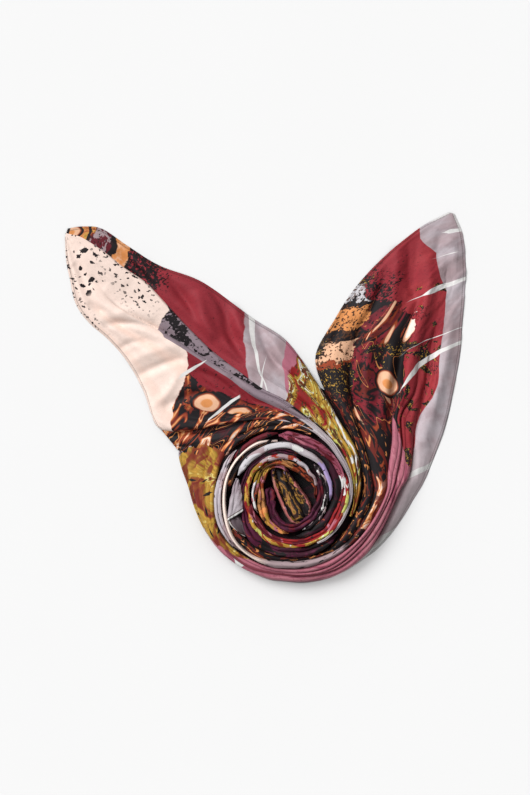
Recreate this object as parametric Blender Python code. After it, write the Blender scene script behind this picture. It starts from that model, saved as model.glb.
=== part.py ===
"""Oblong scarf: one hemmed panel of printed cloth, twirled round its middle into a coil with its ends fanned out.

Frame: +Z up, the scarf lies on z = 0, the longer side of its outline runs along X. Sizes are in metres and
angles in degrees, counter-clockwise from +X round the coil's centre. The cloth winds inwards clockwise.
"""

import math
from collections import namedtuple

import bmesh
import bpy
import numpy as np

# Driving sizes
COIL_CENTRE = (0.029, -0.118)
CORE_HEIGHT = 0.016  # the hidden layers under the coil
CORE_FOOT = 0.0015  # thickness of the hidden layers at their foot
CLOTH_WALL = 0.002  # cloth with its small gathers
SEAM_GAP = 0.0003
DRAPE_GAP = 0.0006  # between a sheet and the rounded layers it lies on
DRAPE_REACH = 0.0025  # how far outside the hidden layers a sheet starts to rise over them
STATION = 10  # degrees between two sections of a turn
SEAM_TURN = 0.2  # degrees between the two sides of a seam
KNOT_STEP = 30  # degrees between two columns of a turn's row
LEAST_WIDTH = 0.0012

# Hidden layers: where their top starts to fall and where it meets the table, every 30 degrees from +X.
CORE_SHOULDER = (0.1079, 0.085, 0.084, 0.084, 0.084, 0.0868, 0.0905, 0.0960, 0.0948, 0.0927, 0.0952, 0.1007)
CORE_RIM = (0.1113, 0.122, 0.136, 0.156, 0.162, 0.144, 0.116, 0.0975, 0.0956, 0.0940, 0.0960, 0.1015)
CORE_RINGS = (0.0, 0.12, 0.25, 0.4, 0.55, 0.7, 0.85, 1.0)  # shares of the fall from shoulder to rim

# Colours of the cloth, one for each part of the print
BLUSH = (0.86, 0.68, 0.60)
BURGUNDY = (0.28, 0.025, 0.035)
MAUVE = (0.42, 0.35, 0.38)
ROSE = (0.47, 0.16, 0.20)
RUST = (0.45, 0.13, 0.05)
INK = (0.02, 0.015, 0.02)
OLIVE = (0.38, 0.25, 0.05)
PLUM = (0.06, 0.012, 0.035)
LILAC = (0.50, 0.42, 0.62)
STONE = (0.62, 0.58, 0.60)
RED = (0.30, 0.04, 0.03)

# A section of a sheet: its two edges, the height of its top at edge a, middle and edge b, and how many
# other sheets lie under it at each edge.
Section = namedtuple("Section", "ax ay bx by top_a top_m top_b under_a under_b")
# A fold that runs along a sheet: the rows where it starts and ends, its place across the sheet there
# (0 at edge a, 1 at edge b), its height (a trough's is negative) and half its width.
Fold = namedtuple("Fold", "first last across_first across_last height half_width")
# A turn of the coil: where its outer end starts, how far it runs clockwise, the radius of its inner and
# outer side every 30 degrees of the run, and the height of its crest at both ends.
Turn = namedtuple("Turn", "name colour start sweep inner outer crest_first crest_last on_core")


def eased(share):
    share = min(max(share, 0.0), 1.0)
    return share * share * (3 - 2 * share)


def along(values, place):
    """The smooth curve through evenly spaced values, at place, where 1 is one step."""
    values = np.asarray(values, float)
    last = len(values) - 1
    place = min(max(place, 0.0), float(last))
    i = min(int(place), last - 1)
    f = place - i
    before = values[i - 1] if i > 0 else 2 * values[0] - values[1]
    after = values[i + 2] if i + 2 <= last else 2 * values[last] - values[last - 1]
    start, end = values[i], values[i + 1]
    return start + 0.5 * f * (
        end - before + f * (2 * before - 5 * start + 4 * end - after + f * (3 * (start - end) + after - before))
    )


def polar(angle, radius):
    turn = math.radians(angle)
    return COIL_CENTRE[0] + radius * math.cos(turn), COIL_CENTRE[1] + radius * math.sin(turn)


def round_the_coil(values, angle):
    """A column given every 30 degrees round the coil, read at any angle."""
    place = (angle % 360) / KNOT_STEP
    i = int(place)
    return values[i % 12] + (values[(i + 1) % 12] - values[i % 12]) * (place - i)


def core_top(angle, radius):
    shoulder, rim = round_the_coil(CORE_SHOULDER, angle), round_the_coil(CORE_RIM, angle)
    fall = 0.5 * math.pi * min(max((radius - shoulder) / (rim - shoulder), 0.0), 1.0)
    return CORE_FOOT + (CORE_HEIGHT - CORE_FOOT) * math.cos(fall) ** 2


def rest_height(x, y):
    """The height that a sheet's underside may not go below: the table, or the hidden layers."""
    dx, dy = x - COIL_CENTRE[0], y - COIL_CENTRE[1]
    angle, radius = math.degrees(math.atan2(dy, dx)), math.hypot(dx, dy)
    clear = radius - DRAPE_REACH - round_the_coil(CORE_RIM, angle)
    height = core_top(angle, radius - DRAPE_REACH) + DRAPE_GAP
    return height * (1 - eased(clear / (2 * DRAPE_REACH)))


def cloth_material(name, colour):
    material = bpy.data.materials.new(name)
    material.use_nodes = True
    shader = material.node_tree.nodes["Principled BSDF"]
    shader.inputs["Base Color"].default_value = (*colour, 1.0)
    shader.inputs["Roughness"].default_value = 0.75
    shader.inputs["Metallic"].default_value = 0.0
    return material


def closed_loft(name, colour, loops):
    """One closed body through loops of points, each loop with as many points as the next."""
    mesh = bpy.data.meshes.new(name)
    shape = bmesh.new()
    rings = [[shape.verts.new(point) for point in loop] for loop in loops]
    count = len(rings[0])
    for ring, following in zip(rings, rings[1:]):
        for i in range(count):
            j = (i + 1) % count
            shape.faces.new((ring[i], ring[j], following[j], following[i]))
    shape.faces.new(rings[0])
    shape.faces.new(list(reversed(rings[-1])))
    bmesh.ops.recalc_face_normals(shape, faces=shape.faces)
    if shape.calc_volume(signed=True) < 0:
        bmesh.ops.reverse_faces(shape, faces=shape.faces)
    shape.to_mesh(mesh)
    shape.free()
    mesh.materials.append(cloth_material(name, colour))
    mesh.shade_smooth()
    mesh.set_sharp_from_angle(angle=math.radians(50))
    body = bpy.data.objects.new(name, mesh)
    bpy.context.collection.objects.link(body)
    return body


def three_heights(first, middle, last, share):
    """The parabola through a height at each edge and one in the middle."""
    return (
        first * (1 - share) * (1 - 2 * share) + middle * 4 * share * (1 - share) + last * share * (2 * share - 1)
    )


def fold_height(folds, row, share, width):
    height = 0.0
    for fold in folds:
        run = (row - fold.first) / (fold.last - fold.first)
        if -0.3 < run < 1.3:
            place = fold.across_first + (fold.across_last - fold.across_first) * run
            off = (share - place) * width / fold.half_width
            height += fold.height * eased(run * 2.0 + 0.15) * math.exp(-off * off)
    return height


def sheet(name, colour, sections, folds=(), steps=3, across=8, depth=CLOTH_WALL, edge_fall=0.0):
    """A stretch of cloth through its sections: a wall that follows the top, and never goes below its rest."""
    loops = []
    rows = steps * (len(sections) - 1)
    for k in range(rows + 1):
        row = k / steps
        s = Section(*along(sections, row))
        width = math.hypot(s.bx - s.ax, s.by - s.ay)
        top, bottom = [], []
        for i in range(across + 1):
            share = i / across
            x, y = s.ax + (s.bx - s.ax) * share, s.ay + (s.by - s.ay) * share
            under = max(s.under_a * (1 - eased((share - 0.35) / 0.2)), s.under_b * eased((share - 0.45) / 0.2))
            base = rest_height(x, y) + max(under, 0.0) * (CLOTH_WALL + DRAPE_GAP)
            height = three_heights(s.top_a, s.top_m, s.top_b, share) + fold_height(folds, row, share, width)
            height -= edge_fall * (2 * share - 1) ** 4
            height = max(height, base + CLOTH_WALL)
            top.append((x, y, height))
            bottom.append((x, y, max(base, height - depth)))
        loops.append(top + bottom[::-1])
    return closed_loft(name, colour, loops)


taken = {}  # the radii that the turns made so far fill, at each angle


def free_span(angle, inner, outer):
    """The part of a span of radii that no other turn fills, with a seam's gap at each side."""
    middle = 0.5 * (inner + outer)
    for low, high in taken.get(angle % 360, ()):
        if low - SEAM_GAP < middle < high + SEAM_GAP:
            raise ValueError(f"a turn runs through another at {angle} degrees, {middle:.4f} m")
        if high + SEAM_GAP > inner and high < middle:
            inner = high + SEAM_GAP
        if low - SEAM_GAP < outer and low > middle:
            outer = low - SEAM_GAP
    if outer - inner < LEAST_WIDTH:
        raise ValueError(f"a turn has no room at {angle} degrees, {middle:.4f} m: {outer - inner:.4f}")
    return inner, outer


def feet_on_core(angle, inner, outer):
    """The heights of a turn's two lower edges, so that its straight foot clears the rounded core."""
    low_inner, middle, low_outer = (core_top(angle, radius) for radius in (inner, 0.5 * (inner + outer), outer))
    lift = SEAM_GAP + max(middle - 0.5 * (low_inner + low_outer), 0.0)
    return low_inner + lift, low_outer + lift


def coil_turn(row):
    """One turn of the coil: gathered layers with a rounded crest, standing on the hidden layers or the table."""
    count = round(row.sweep / STATION)
    spans, loops = [], []
    for k in range(count + 1):
        angle = row.start - k * STATION
        place = k * STATION / KNOT_STEP
        inner, outer = free_span(angle, float(along(row.inner, place)), float(along(row.outer, place)))
        spans.append((angle % 360, (inner, outer)))
        crest = row.crest_first + (row.crest_last - row.crest_first) * k / count
        shoulder = min(0.35 * (outer - inner), 0.3 * crest)
        foot_inner, foot_outer = feet_on_core(angle, inner, outer) if row.on_core else (0.0, 0.0)
        profile = (
            (inner, foot_inner),
            (inner, crest - shoulder),
            (inner + 0.3 * (outer - inner), crest),
            (outer - 0.3 * (outer - inner), crest),
            (outer, crest - shoulder),
            (outer, foot_outer),
        )
        turned = angle
        if k == 0:
            turned = angle - SEAM_TURN
        loops.append([(*polar(turned, radius), height) for radius, height in profile])
    for angle, span in spans:
        taken.setdefault(angle, []).append(span)
    return closed_loft(row.name, row.colour, loops)


def hidden_core():
    """The layers that nothing shows, as one rounded solid with a flat underside."""
    mesh = bpy.data.meshes.new("hidden_layers")
    shape = bmesh.new()
    angles = range(0, 360, STATION)
    centre_top = shape.verts.new((*COIL_CENTRE, CORE_HEIGHT))
    centre_foot = shape.verts.new((*COIL_CENTRE, 0.0))
    circles = []
    for share in CORE_RINGS:
        circle = []
        for angle in angles:
            shoulder, rim = round_the_coil(CORE_SHOULDER, angle), round_the_coil(CORE_RIM, angle)
            radius = shoulder + (rim - shoulder) * share
            circle.append(shape.verts.new((*polar(angle, radius), core_top(angle, radius))))
        circles.append(circle)
    circles.append([shape.verts.new((vert.co.x, vert.co.y, 0.0)) for vert in circles[-1]])
    for i in range(len(angles)):
        j = (i + 1) % len(angles)
        shape.faces.new((centre_top, circles[0][i], circles[0][j]))
        shape.faces.new((centre_foot, circles[-1][j], circles[-1][i]))
        for inside, outside in zip(circles, circles[1:]):
            shape.faces.new((inside[i], outside[i], outside[j], inside[j]))
    bmesh.ops.recalc_face_normals(shape, faces=shape.faces)
    shape.to_mesh(mesh)
    shape.free()
    mesh.materials.append(cloth_material("hidden_layers", INK))
    mesh.shade_smooth()
    mesh.set_sharp_from_angle(angle=math.radians(40))
    body = bpy.data.objects.new("hidden_layers", mesh)
    bpy.context.collection.objects.link(body)


def inner_tuft():
    """The twisted middle of the cloth, a lumpy roll that lies in the coil's hollow."""
    stations, sides = 12, 10
    half_width, height = 0.0095, 0.0105
    start, end = np.array(polar(125, 0.033)), np.array(polar(300, 0.031))
    side = np.array((end[1] - start[1], start[0] - end[0])) / np.hypot(*(end - start))
    loops = []
    for k in range(stations + 1):
        share = k / stations
        swell = math.sin(math.pi * (0.06 + 0.88 * share)) ** 0.45
        loop = []
        for i in range(sides):
            turn = 2 * math.pi * i / sides
            lump = 1 + 0.12 * math.cos(3 * turn + 7 * share)
            across = half_width * swell * lump * math.cos(turn)
            up = max(height * swell * lump * math.sin(turn), -0.45 * height * swell)
            x, y = start + (end - start) * share + side * across
            loop.append((x, y, CORE_HEIGHT + SEAM_GAP + 0.45 * height * swell + up))
        loops.append(loop)
    return closed_loft("inner_tuft", OLIVE, loops)


def sections_of(rows):
    return [Section(*row) for row in rows]


# Left end. Each row runs across the cloth; edge a is the side towards +Y, edge b the other.
LEFT_BACK = sections_of((
    # ax, ay, bx, by, top_a, top_m, top_b, under_a, under_b
    (-0.2470, 0.2125, -0.2495, 0.2050, 0.0020, 0.0020, 0.0020, 0, 0),
    (-0.2280, 0.2150, -0.2360, 0.1860, 0.0020, 0.0020, 0.0020, 0, 0),
    (-0.2040, 0.2120, -0.2180, 0.1700, 0.0020, 0.0020, 0.0020, 0, 0),
    (-0.1710, 0.1900, -0.1930, 0.1470, 0.0020, 0.0020, 0.0020, 0, 0),
    (-0.1320, 0.1660, -0.1630, 0.1220, 0.0020, 0.0020, 0.0020, 0, 0),
    (-0.0780, 0.1450, -0.1280, 0.0930, 0.0020, 0.0020, 0.0020, 0, 0),
    (-0.0200, 0.1030, -0.0780, 0.0430, 0.0020, 0.0030, 0.0020, 0, 0),
    (0.0260, 0.0720, -0.0200, 0.0080, 0.0030, 0.0060, 0.0020, 0, 0),
    (*polar(80, 0.142), *polar(80, 0.109), 0.0060, 0.0130, 0.0130, 0, 0),
))
LEFT_FRONT = sections_of((
    (-0.2494, 0.2069, -0.2505, 0.1990, 0.0048, 0.0048, 0.0048, 1, 1),
    (-0.2280, 0.2010, -0.2490, 0.1720, 0.0060, 0.0050, 0.0030, 1, 0),
    (-0.2020, 0.1840, -0.2440, 0.1470, 0.0070, 0.0050, 0.0022, 1, 0),
    (-0.1750, 0.1630, -0.2370, 0.1180, 0.0080, 0.0055, 0.0021, 1, 0),
    (-0.1480, 0.1440, -0.2210, 0.0950, 0.0085, 0.0050, 0.0021, 1, 0),
    (-0.1210, 0.1150, -0.1960, 0.0730, 0.0090, 0.0060, 0.0021, 1, 0),
    (-0.0950, 0.0870, -0.1720, 0.0450, 0.0100, 0.0060, 0.0021, 1, 0),
    (-0.0660, 0.0590, -0.1520, 0.0080, 0.0110, 0.0070, 0.0030, 1, 0),
    (-0.0360, 0.0360, -0.1330, -0.0370, 0.0130, 0.0120, 0.0080, 1, 1),
    (-0.0050, 0.0140, -0.0880, -0.0390, 0.0170, 0.0190, 0.0190, 1, 1),
    (0.0200, 0.0010, -0.0450, -0.0320, 0.0210, 0.0240, 0.0260, 1, 1),
    (*polar(90, 0.107), *polar(108, 0.092), 0.0230, 0.0270, 0.0300, 1, 1),
    (*polar(80, 0.1055), *polar(86, 0.085), 0.0250, 0.0290, 0.0320, 1, 1),
    (*polar(70, 0.097), *polar(70, 0.0815), 0.0270, 0.0310, 0.0330, 1, 1),
    (*polar(60, 0.0895), *polar(60, 0.079), 0.0300, 0.0330, 0.0330, 1, 1),
    (*polar(50, 0.084), *polar(50, 0.077), 0.0310, 0.0330, 0.0310, 1, 1),
))
LEFT_FRONT_FOLDS = (
    Fold(4, 8, 0.62, 0.05, 0.0050, 0.009),
    Fold(4, 8, 0.48, -0.10, -0.0025, 0.010),
    Fold(7, 13, 0.55, 0.70, 0.0030, 0.010),
)
FLAME = sections_of((
    (-0.1220, -0.0360, -0.1095, -0.0665, 0.0050, 0.0060, 0.0050, 0, 1),
    (-0.0950, -0.0280, -0.0840, -0.0760, 0.0090, 0.0120, 0.0130, 0, 1),
    (-0.0620, -0.0220, *polar(154, 0.0945), 0.0120, 0.0170, 0.0210, 0, 1),
    (-0.0360, -0.0180, *polar(140, 0.0885), 0.0150, 0.0220, 0.0270, 0, 0),
    (-0.0080, -0.0160, *polar(122, 0.0845), 0.0180, 0.0250, 0.0280, 0, 0),
    (0.0180, -0.0170, *polar(104, 0.0810), 0.0200, 0.0260, 0.0280, 0, 0),
    (*polar(82, 0.0930), *polar(86, 0.0800), 0.0230, 0.0260, 0.0280, 0, 0),
    (*polar(70, 0.0860), *polar(70, 0.0775), 0.0250, 0.0260, 0.0270, 0, 0),
))

# Right end. Edge a is the hem towards -X, edge b the other hem.
RIGHT_PANEL = sections_of((
    (0.2220, 0.2300, 0.2390, 0.2260, 0.0020, 0.0026, 0.0020, 0, 0),
    (0.1910, 0.2120, 0.2470, 0.2030, 0.0021, 0.0030, 0.0021, 0, 0),
    (0.1460, 0.1750, 0.2505, 0.1630, 0.0021, 0.0040, 0.0021, 0, 0),
    (0.1110, 0.1370, 0.2490, 0.1280, 0.0024, 0.0050, 0.0021, 0, 0),
    (0.0860, 0.0980, 0.2460, 0.0920, 0.0030, 0.0060, 0.0021, 0, 0),
    (0.0625, 0.0530, 0.2430, 0.0520, 0.0050, 0.0080, 0.0021, 0, 0),
    (0.0740, 0.0090, 0.2350, 0.0100, 0.0120, 0.0110, 0.0023, 0, 0),
    (*polar(60, 0.1185), 0.2270, -0.0280, 0.0180, 0.0140, 0.0025, 0, 0),
))
RIGHT_PANEL_FOLDS = (
    Fold(3, 7, 0.36, 0.24, 0.0060, 0.010),
    Fold(3, 7, 0.24, 0.17, -0.0025, 0.008),
    Fold(2, 7, 0.64, 0.52, 0.0045, 0.012),
    Fold(5, 7, 0.50, 0.38, 0.0030, 0.007),
)
# Below the panel the right end gathers into four strips. A row holds both hems and the shares of the
# width where one strip ends and the next starts.
Gather = namedtuple("Gather", "ax ay bx by left middle pleats top_left top_middle top_pleats top_band")
RIGHT_GATHER = [Gather(*row) for row in (
    (*polar(60, 0.1185), 0.2270, -0.0280, 0.20, 0.51, 0.56, 0.0200, 0.0160, 0.0130, 0.0080),
    (*polar(40, 0.1030), 0.2140, -0.0660, 0.17, 0.41, 0.60, 0.0240, 0.0200, 0.0160, 0.0090),
    (*polar(20, 0.0965), 0.2000, -0.1000, 0.13, 0.30, 0.65, 0.0260, 0.0240, 0.0190, 0.0090),
    (*polar(0, 0.0945), *polar(0, 0.1610), 0.13, 0.27, 0.67, 0.0270, 0.0260, 0.0220, 0.0100),
)]
PANEL_SEAM = 0.012  # share of a row between the panel and the strips


def right_strip(name, colour, first_share, last_share, top, top_b=None, **options):
    """One strip of the gather, between two of its columns."""
    rows = []
    for row in (PANEL_SEAM, 1, 2, 3):
        g = Gather(*along(RIGHT_GATHER, row))
        low, high = first_share(g), last_share(g)
        width = math.hypot(g.bx - g.ax, g.by - g.ay)
        low, high = low + SEAM_GAP / width, high - SEAM_GAP / width
        edges = [(g.ax + (g.bx - g.ax) * share, g.ay + (g.by - g.ay) * share) for share in (low, high)]
        crest = top(g)
        far = top_b(g) if top_b else crest - 0.002
        rows.append(Section(*edges[0], *edges[1], crest - 0.002, crest, far, 0, 0))
    return sheet(name, colour, rows, steps=4, **options)


# The coil, from the wraps outside to the tuft in its hollow. Columns: inner and outer radius every 30 degrees.
TURNS = [Turn(*row) for row in (
    # the right end's folds, round the bottom and up the left side
    ("hem_band_turn", MAUVE, 0, 40, (0.1390, 0.1250, 0.1190), (0.1610, 0.1310, 0.1215), 0.010, 0.006, False),
    ("outer_roll", ROSE, 0, 150, (0.1290, 0.1172, 0.1108, 0.0998, 0.0965, 0.0990),
     (0.1390, 0.1248, 0.1180, 0.1120, 0.1085, 0.1120), 0.018, 0.016, False),
    ("third_roll", ROSE, 0, 60, (0.1210, 0.1112, 0.1082), (0.1288, 0.1170, 0.1105), 0.021, 0.020, False),
    ("second_roll", ROSE, 0, 80, (0.1160, 0.1060, 0.1028, 0.0985), (0.1208, 0.1110, 0.1078, 0.0998),
     0.024, 0.023, False),
    ("first_roll", ROSE, 0, 100, (0.1120, 0.1022, 0.0970, 0.0955, 0.0950),
     (0.1158, 0.1058, 0.1026, 0.0985, 0.0962), 0.026, 0.024, False),
    ("peach_turn", BLUSH, 0, 250,
     (0.1030, 0.0955, 0.0882, 0.0844, 0.0882, 0.0845, 0.0775, 0.0756, 0.0718, 0.0655),
     (0.1078, 0.1005, 0.0952, 0.0925, 0.0912, 0.0893, 0.0825, 0.0790, 0.0750, 0.0675), 0.027, 0.034, True),
    ("pleat_turn", INK, 0, 140, (0.0940, 0.0830, 0.0835, 0.0775, 0.0767, 0.0775),
     (0.1027, 0.0950, 0.0878, 0.0840, 0.0876, 0.0830), 0.027, 0.027, True),
    ("upper_pleat_turn", INK, 180, 70, (0.0733, 0.0710, 0.0690, 0.0640), (0.0768, 0.0752, 0.0715, 0.0662),
     0.030, 0.029, True),
    ("mauve_wrap_turn", MAUVE, 230, 90, (0.0918, 0.0880, 0.0830, 0.0832), (0.0945, 0.0950, 0.0895, 0.0865),
     0.028, 0.031, True),
    ("burgundy_turn", BURGUNDY, 150, 50, (0.0795, 0.0765, 0.0720), (0.0822, 0.0812, 0.0780), 0.031, 0.031, True),
    # the left end's folds, over the top and inwards
    ("back_fold_turn", OLIVE, 80, 100, (0.1095, 0.0865, 0.0815, 0.0795, 0.0780),
     (0.1420, 0.1090, 0.0935, 0.0855, 0.0810), 0.015, 0.026, True),
    ("front_fold_turn", STONE, 50, 100, (0.0770, 0.0760, 0.0735, 0.0706, 0.0690),
     (0.0840, 0.0805, 0.0783, 0.0740, 0.0700), 0.031, 0.033, True),
    ("gold_turn", OLIVE, 20, 370,
     (0.0725, 0.0700, 0.0676, 0.0645, 0.0610, 0.0580, 0.0510, 0.0500, 0.0490, 0.0460, 0.0412, 0.0360, 0.0350, 0.0350),
     (0.0757, 0.0730, 0.0703, 0.0670, 0.0658, 0.0615, 0.0558, 0.0542, 0.0540, 0.0515, 0.0455, 0.0390, 0.0372, 0.0372),
     0.035, 0.033, True),
    ("red_turn", RED, 100, 270, (0.0670, 0.0632, 0.0650, 0.0662, 0.0612, 0.0610, 0.0573, 0.0553, 0.0485, 0.0473),
     (0.0780, 0.0740, 0.0730, 0.0713, 0.0690, 0.0668, 0.0622, 0.0602, 0.0555, 0.0497), 0.031, 0.034, True),
    ("plum_turn", PLUM, 320, 250, (0.0755, 0.0677, 0.0663, 0.0625, 0.0570, 0.0553, 0.0545, 0.0522, 0.0462, 0.0440),
     (0.0805, 0.0800, 0.0762, 0.0750, 0.0620, 0.0598, 0.0592, 0.0583, 0.0522, 0.0470), 0.031, 0.032, True),
    ("night_turn", INK, 100, 180, (0.0650, 0.0597, 0.0582, 0.0555, 0.0530, 0.0505, 0.0512),
     (0.0668, 0.0625, 0.0645, 0.0655, 0.0605, 0.0600, 0.0565), 0.030, 0.031, True),
    ("lilac_turn", LILAC, 160, 170, (0.0640, 0.0600, 0.0585, 0.0515, 0.0510, 0.0500, 0.0500),
     (0.0700, 0.0675, 0.0645, 0.0590, 0.0575, 0.0545, 0.0520), 0.036, 0.035, True),
    ("streaked_turn", INK, 50, 120, (0.0448, 0.0434, 0.0433, 0.0446, 0.0466),
     (0.0502, 0.0498, 0.0490, 0.0496, 0.0496), 0.031, 0.031, True),
    ("inner_plum_turn", PLUM, 30, 230, (0.0382, 0.0365, 0.0345, 0.0365, 0.0378, 0.0290, 0.0195, 0.0180, 0.0200),
     (0.0430, 0.0425, 0.0430, 0.0445, 0.0468, 0.0410, 0.0315, 0.0298, 0.0280), 0.033, 0.026, True),
    ("tan_turn", RUST, 270, 180, (0.0473, 0.0412, 0.0328, 0.0312, 0.0352, 0.0378, 0.0240),
     (0.0500, 0.0465, 0.0428, 0.0375, 0.0400, 0.0428, 0.0310), 0.033, 0.028, True),
    ("olive_turn", OLIVE, 200, 210, (0.0435, 0.0390, 0.0428, 0.0398, 0.0300, 0.0280, 0.0310, 0.0325),
     (0.0460, 0.0452, 0.0472, 0.0452, 0.0380, 0.0345, 0.0342, 0.0345), 0.032, 0.031, True),
    ("hem_corner", STONE, 210, 40, (0.0745, 0.0605, 0.0640), (0.0835, 0.0728, 0.0690), 0.031, 0.034, True),
)]

# The sheet that comes up the left side from the rolls and goes under the left end.
LEFT_SIDE = sections_of((
    (*polar(210 - SEAM_TURN, 0.0985), *polar(210 - SEAM_TURN, 0.1130), 0.0220, 0.0180, 0.0060, 0, 0),
    (*polar(200, 0.0980), *polar(200, 0.1160), 0.0230, 0.0180, 0.0040, 0, 0),
    (*polar(190, 0.0942), *polar(190, 0.1190), 0.0240, 0.0180, 0.0030, 0, 0),
    (*polar(180, 0.0915), *polar(180, 0.1240), 0.0240, 0.0170, 0.0025, 0, 0),
    (*polar(170, 0.0910), *polar(170, 0.1320), 0.0230, 0.0150, 0.0021, 0, 0),
    (*polar(160, 0.0915), *polar(160, 0.1455), 0.0200, 0.0110, 0.0021, 0, 0),
    (*polar(152, 0.0920), *polar(152, 0.1455), 0.0160, 0.0090, 0.0021, 0, 0),
))


def clear_scene():
    for thing in list(bpy.data.objects):
        bpy.data.objects.remove(thing, do_unlink=True)


def build():
    clear_scene()
    hidden_core()
    for row in TURNS:
        coil_turn(row)
    inner_tuft()
    sheet("left_side", OLIVE, LEFT_SIDE, steps=1, across=6)
    sheet("left_back_panel", BURGUNDY, LEFT_BACK, steps=2, across=6)
    sheet("left_front_panel", BLUSH, LEFT_FRONT, folds=LEFT_FRONT_FOLDS, steps=2, across=12)
    sheet("left_flame_fold", RUST, FLAME, steps=2, across=6)
    sheet("right_panel", BURGUNDY, RIGHT_PANEL, folds=RIGHT_PANEL_FOLDS, steps=2, across=20)
    right_strip("right_left_strip", INK, lambda g: 0.0, lambda g: g.left, lambda g: g.top_left,
                across=4, depth=0.02, edge_fall=0.001)
    right_strip("right_middle_strip", RUST, lambda g: g.left, lambda g: g.middle, lambda g: g.top_middle,
                across=5, depth=0.02, edge_fall=0.001)
    right_strip("right_pleats", ROSE, lambda g: g.middle, lambda g: g.pleats, lambda g: g.top_pleats,
                across=5, depth=0.02, edge_fall=0.001)
    right_strip("right_hem_band", MAUVE, lambda g: g.pleats, lambda g: 1.0, lambda g: g.top_band,
                top_b=lambda g: CLOTH_WALL, across=5, depth=0.02)


build()
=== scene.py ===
import math

import bmesh
import bpy
import numpy as np
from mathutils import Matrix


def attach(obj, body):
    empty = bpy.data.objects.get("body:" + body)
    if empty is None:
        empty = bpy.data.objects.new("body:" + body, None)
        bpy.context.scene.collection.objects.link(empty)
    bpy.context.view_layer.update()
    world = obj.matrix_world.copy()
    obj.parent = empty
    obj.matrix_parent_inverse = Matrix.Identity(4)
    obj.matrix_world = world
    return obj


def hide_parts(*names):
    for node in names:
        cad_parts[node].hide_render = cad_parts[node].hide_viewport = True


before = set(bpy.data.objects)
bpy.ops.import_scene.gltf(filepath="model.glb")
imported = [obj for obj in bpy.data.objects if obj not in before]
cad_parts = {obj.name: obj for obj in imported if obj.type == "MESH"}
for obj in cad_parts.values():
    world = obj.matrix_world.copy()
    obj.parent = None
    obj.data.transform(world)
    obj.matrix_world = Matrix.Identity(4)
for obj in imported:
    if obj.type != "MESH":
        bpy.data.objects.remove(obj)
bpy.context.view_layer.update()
print("frame loaded")

mm = 0.001
coil = dict(x=29.0, y=-118.0)  # centre of the coil, in millimetres like every table below
clothWall = 0.35  # how thick the cloth is made, and the least height of any point over the table
leastHeight = 0.45
farFromHem = 0.2  # in metres: the distance that stands for nowhere near a hem
samePoint = 2e-6  # in metres: points this near are joined
perMetre = 6283  # a full turn in radians, times the millimetres in a metre


def byCoil(angle, radius):
    # a point at an angle and a distance from the coil's centre
    turn = math.radians(angle)
    return coil["x"] + radius * math.cos(turn), coil["y"] + radius * math.sin(turn)


def roundCoil(angle, radius, height):
    # the same for whole arrays, in metres
    turn = np.radians(angle)
    x, y = coil["x"] + radius * np.cos(turn), coil["y"] + radius * np.sin(turn)
    return np.stack([x, y, height], axis=-1) * mm


def ease(share):
    share = np.clip(share, 0.0, 1.0)
    return share * share * (3 - 2 * share)


def splineAt(values, place):
    # smooth curve through evenly spaced values
    values = np.asarray(values, float)
    place = np.clip(np.asarray(place, float), 0, len(values) - 1)
    i = np.minimum(place.astype(int), len(values) - 2)
    f = (place - i).reshape(place.shape + (1,) * (values.ndim - 1))
    run = np.concatenate([[2 * values[0] - values[1]], values, [2 * values[-1] - values[-2]]])
    p0, p1, p2, p3 = (run[i + k] for k in range(4))
    return p1 + 0.5 * f * (p2 - p0 + f * (2 * p0 - 5 * p1 + 4 * p2 - p3 + f * (3 * (p1 - p2) + p3 - p0)))


def betweenEdges(edges, rows, share, height):
    # points a share of the way across; an edge is (ax, ay, bx, by), or (angle, radius, radius) by the coil
    edges = [(*byCoil(*edge[:2]), *byCoil(*edge[::2])) if len(edge) == 3 else edge for edge in edges]
    sides = splineAt(edges, rows)
    x, y = (sides[:, [k]] + (sides[:, [k + 2]] - sides[:, [k]]) * share for k in (0, 1))
    return np.stack([x, y, height], axis=-1) * mm


def keyed(rows, keys, column):
    # smooth curve through one column of keys that start with their row, evenly spaced or not
    at, value = np.array(keys, float)[:, [0, column]].T
    slope = np.gradient(value, at)
    i = np.clip(np.searchsorted(at, rows, "right") - 1, 0, len(at) - 2)
    h = at[i + 1] - at[i]
    t = np.clip((rows - at[i]) / h, 0, 1)
    straight = value[i] + (value[i + 1] - value[i]) * (3 * t**2 - 2 * t**3)
    return straight + h * ((t**3 - 2 * t**2 + t) * slope[i] + (t**3 - t**2) * slope[i + 1])


def foldAcross(places, heights, sharp, perFold, flat, bulge):
    # lines alternate low, high, low ...; returns place, height and line number of every column
    allPlaces, allHeights, numbers = [], [], []
    for j in range(places.shape[1] - 1):
        t = np.linspace(0, 1, perFold + 1)[min(j, 1):]
        high, low = (j + 1, j) if j % 2 == 0 else (j, j + 1)
        theta = 0.5 * math.pi * (1 - t if high > j else t)
        k = sharp[:, [j]]
        run = (1 - k) * (2 * theta / math.pi) + k * (np.sin(theta) + bulge * np.sin(2 * theta))
        rise = (1 - k) * np.cos(theta)**2 + k * np.cos(theta)**(1 - 0.6 * flat)
        allPlaces.append(places[:, [high]] + (places[:, [low]] - places[:, [high]]) * run)
        allHeights.append(heights[:, [low]] + (heights[:, [high]] - heights[:, [low]]) * rise)
        numbers.append(j + t)
    return np.hstack(allPlaces), np.hstack(allHeights), np.concatenate(numbers)


def spaced(points, axis):
    # running distance between points, from 0
    first = np.take(points, [0], axis)
    return np.cumsum(np.linalg.norm(np.diff(points, axis=axis, prepend=first), axis=-1), axis=axis)


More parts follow.
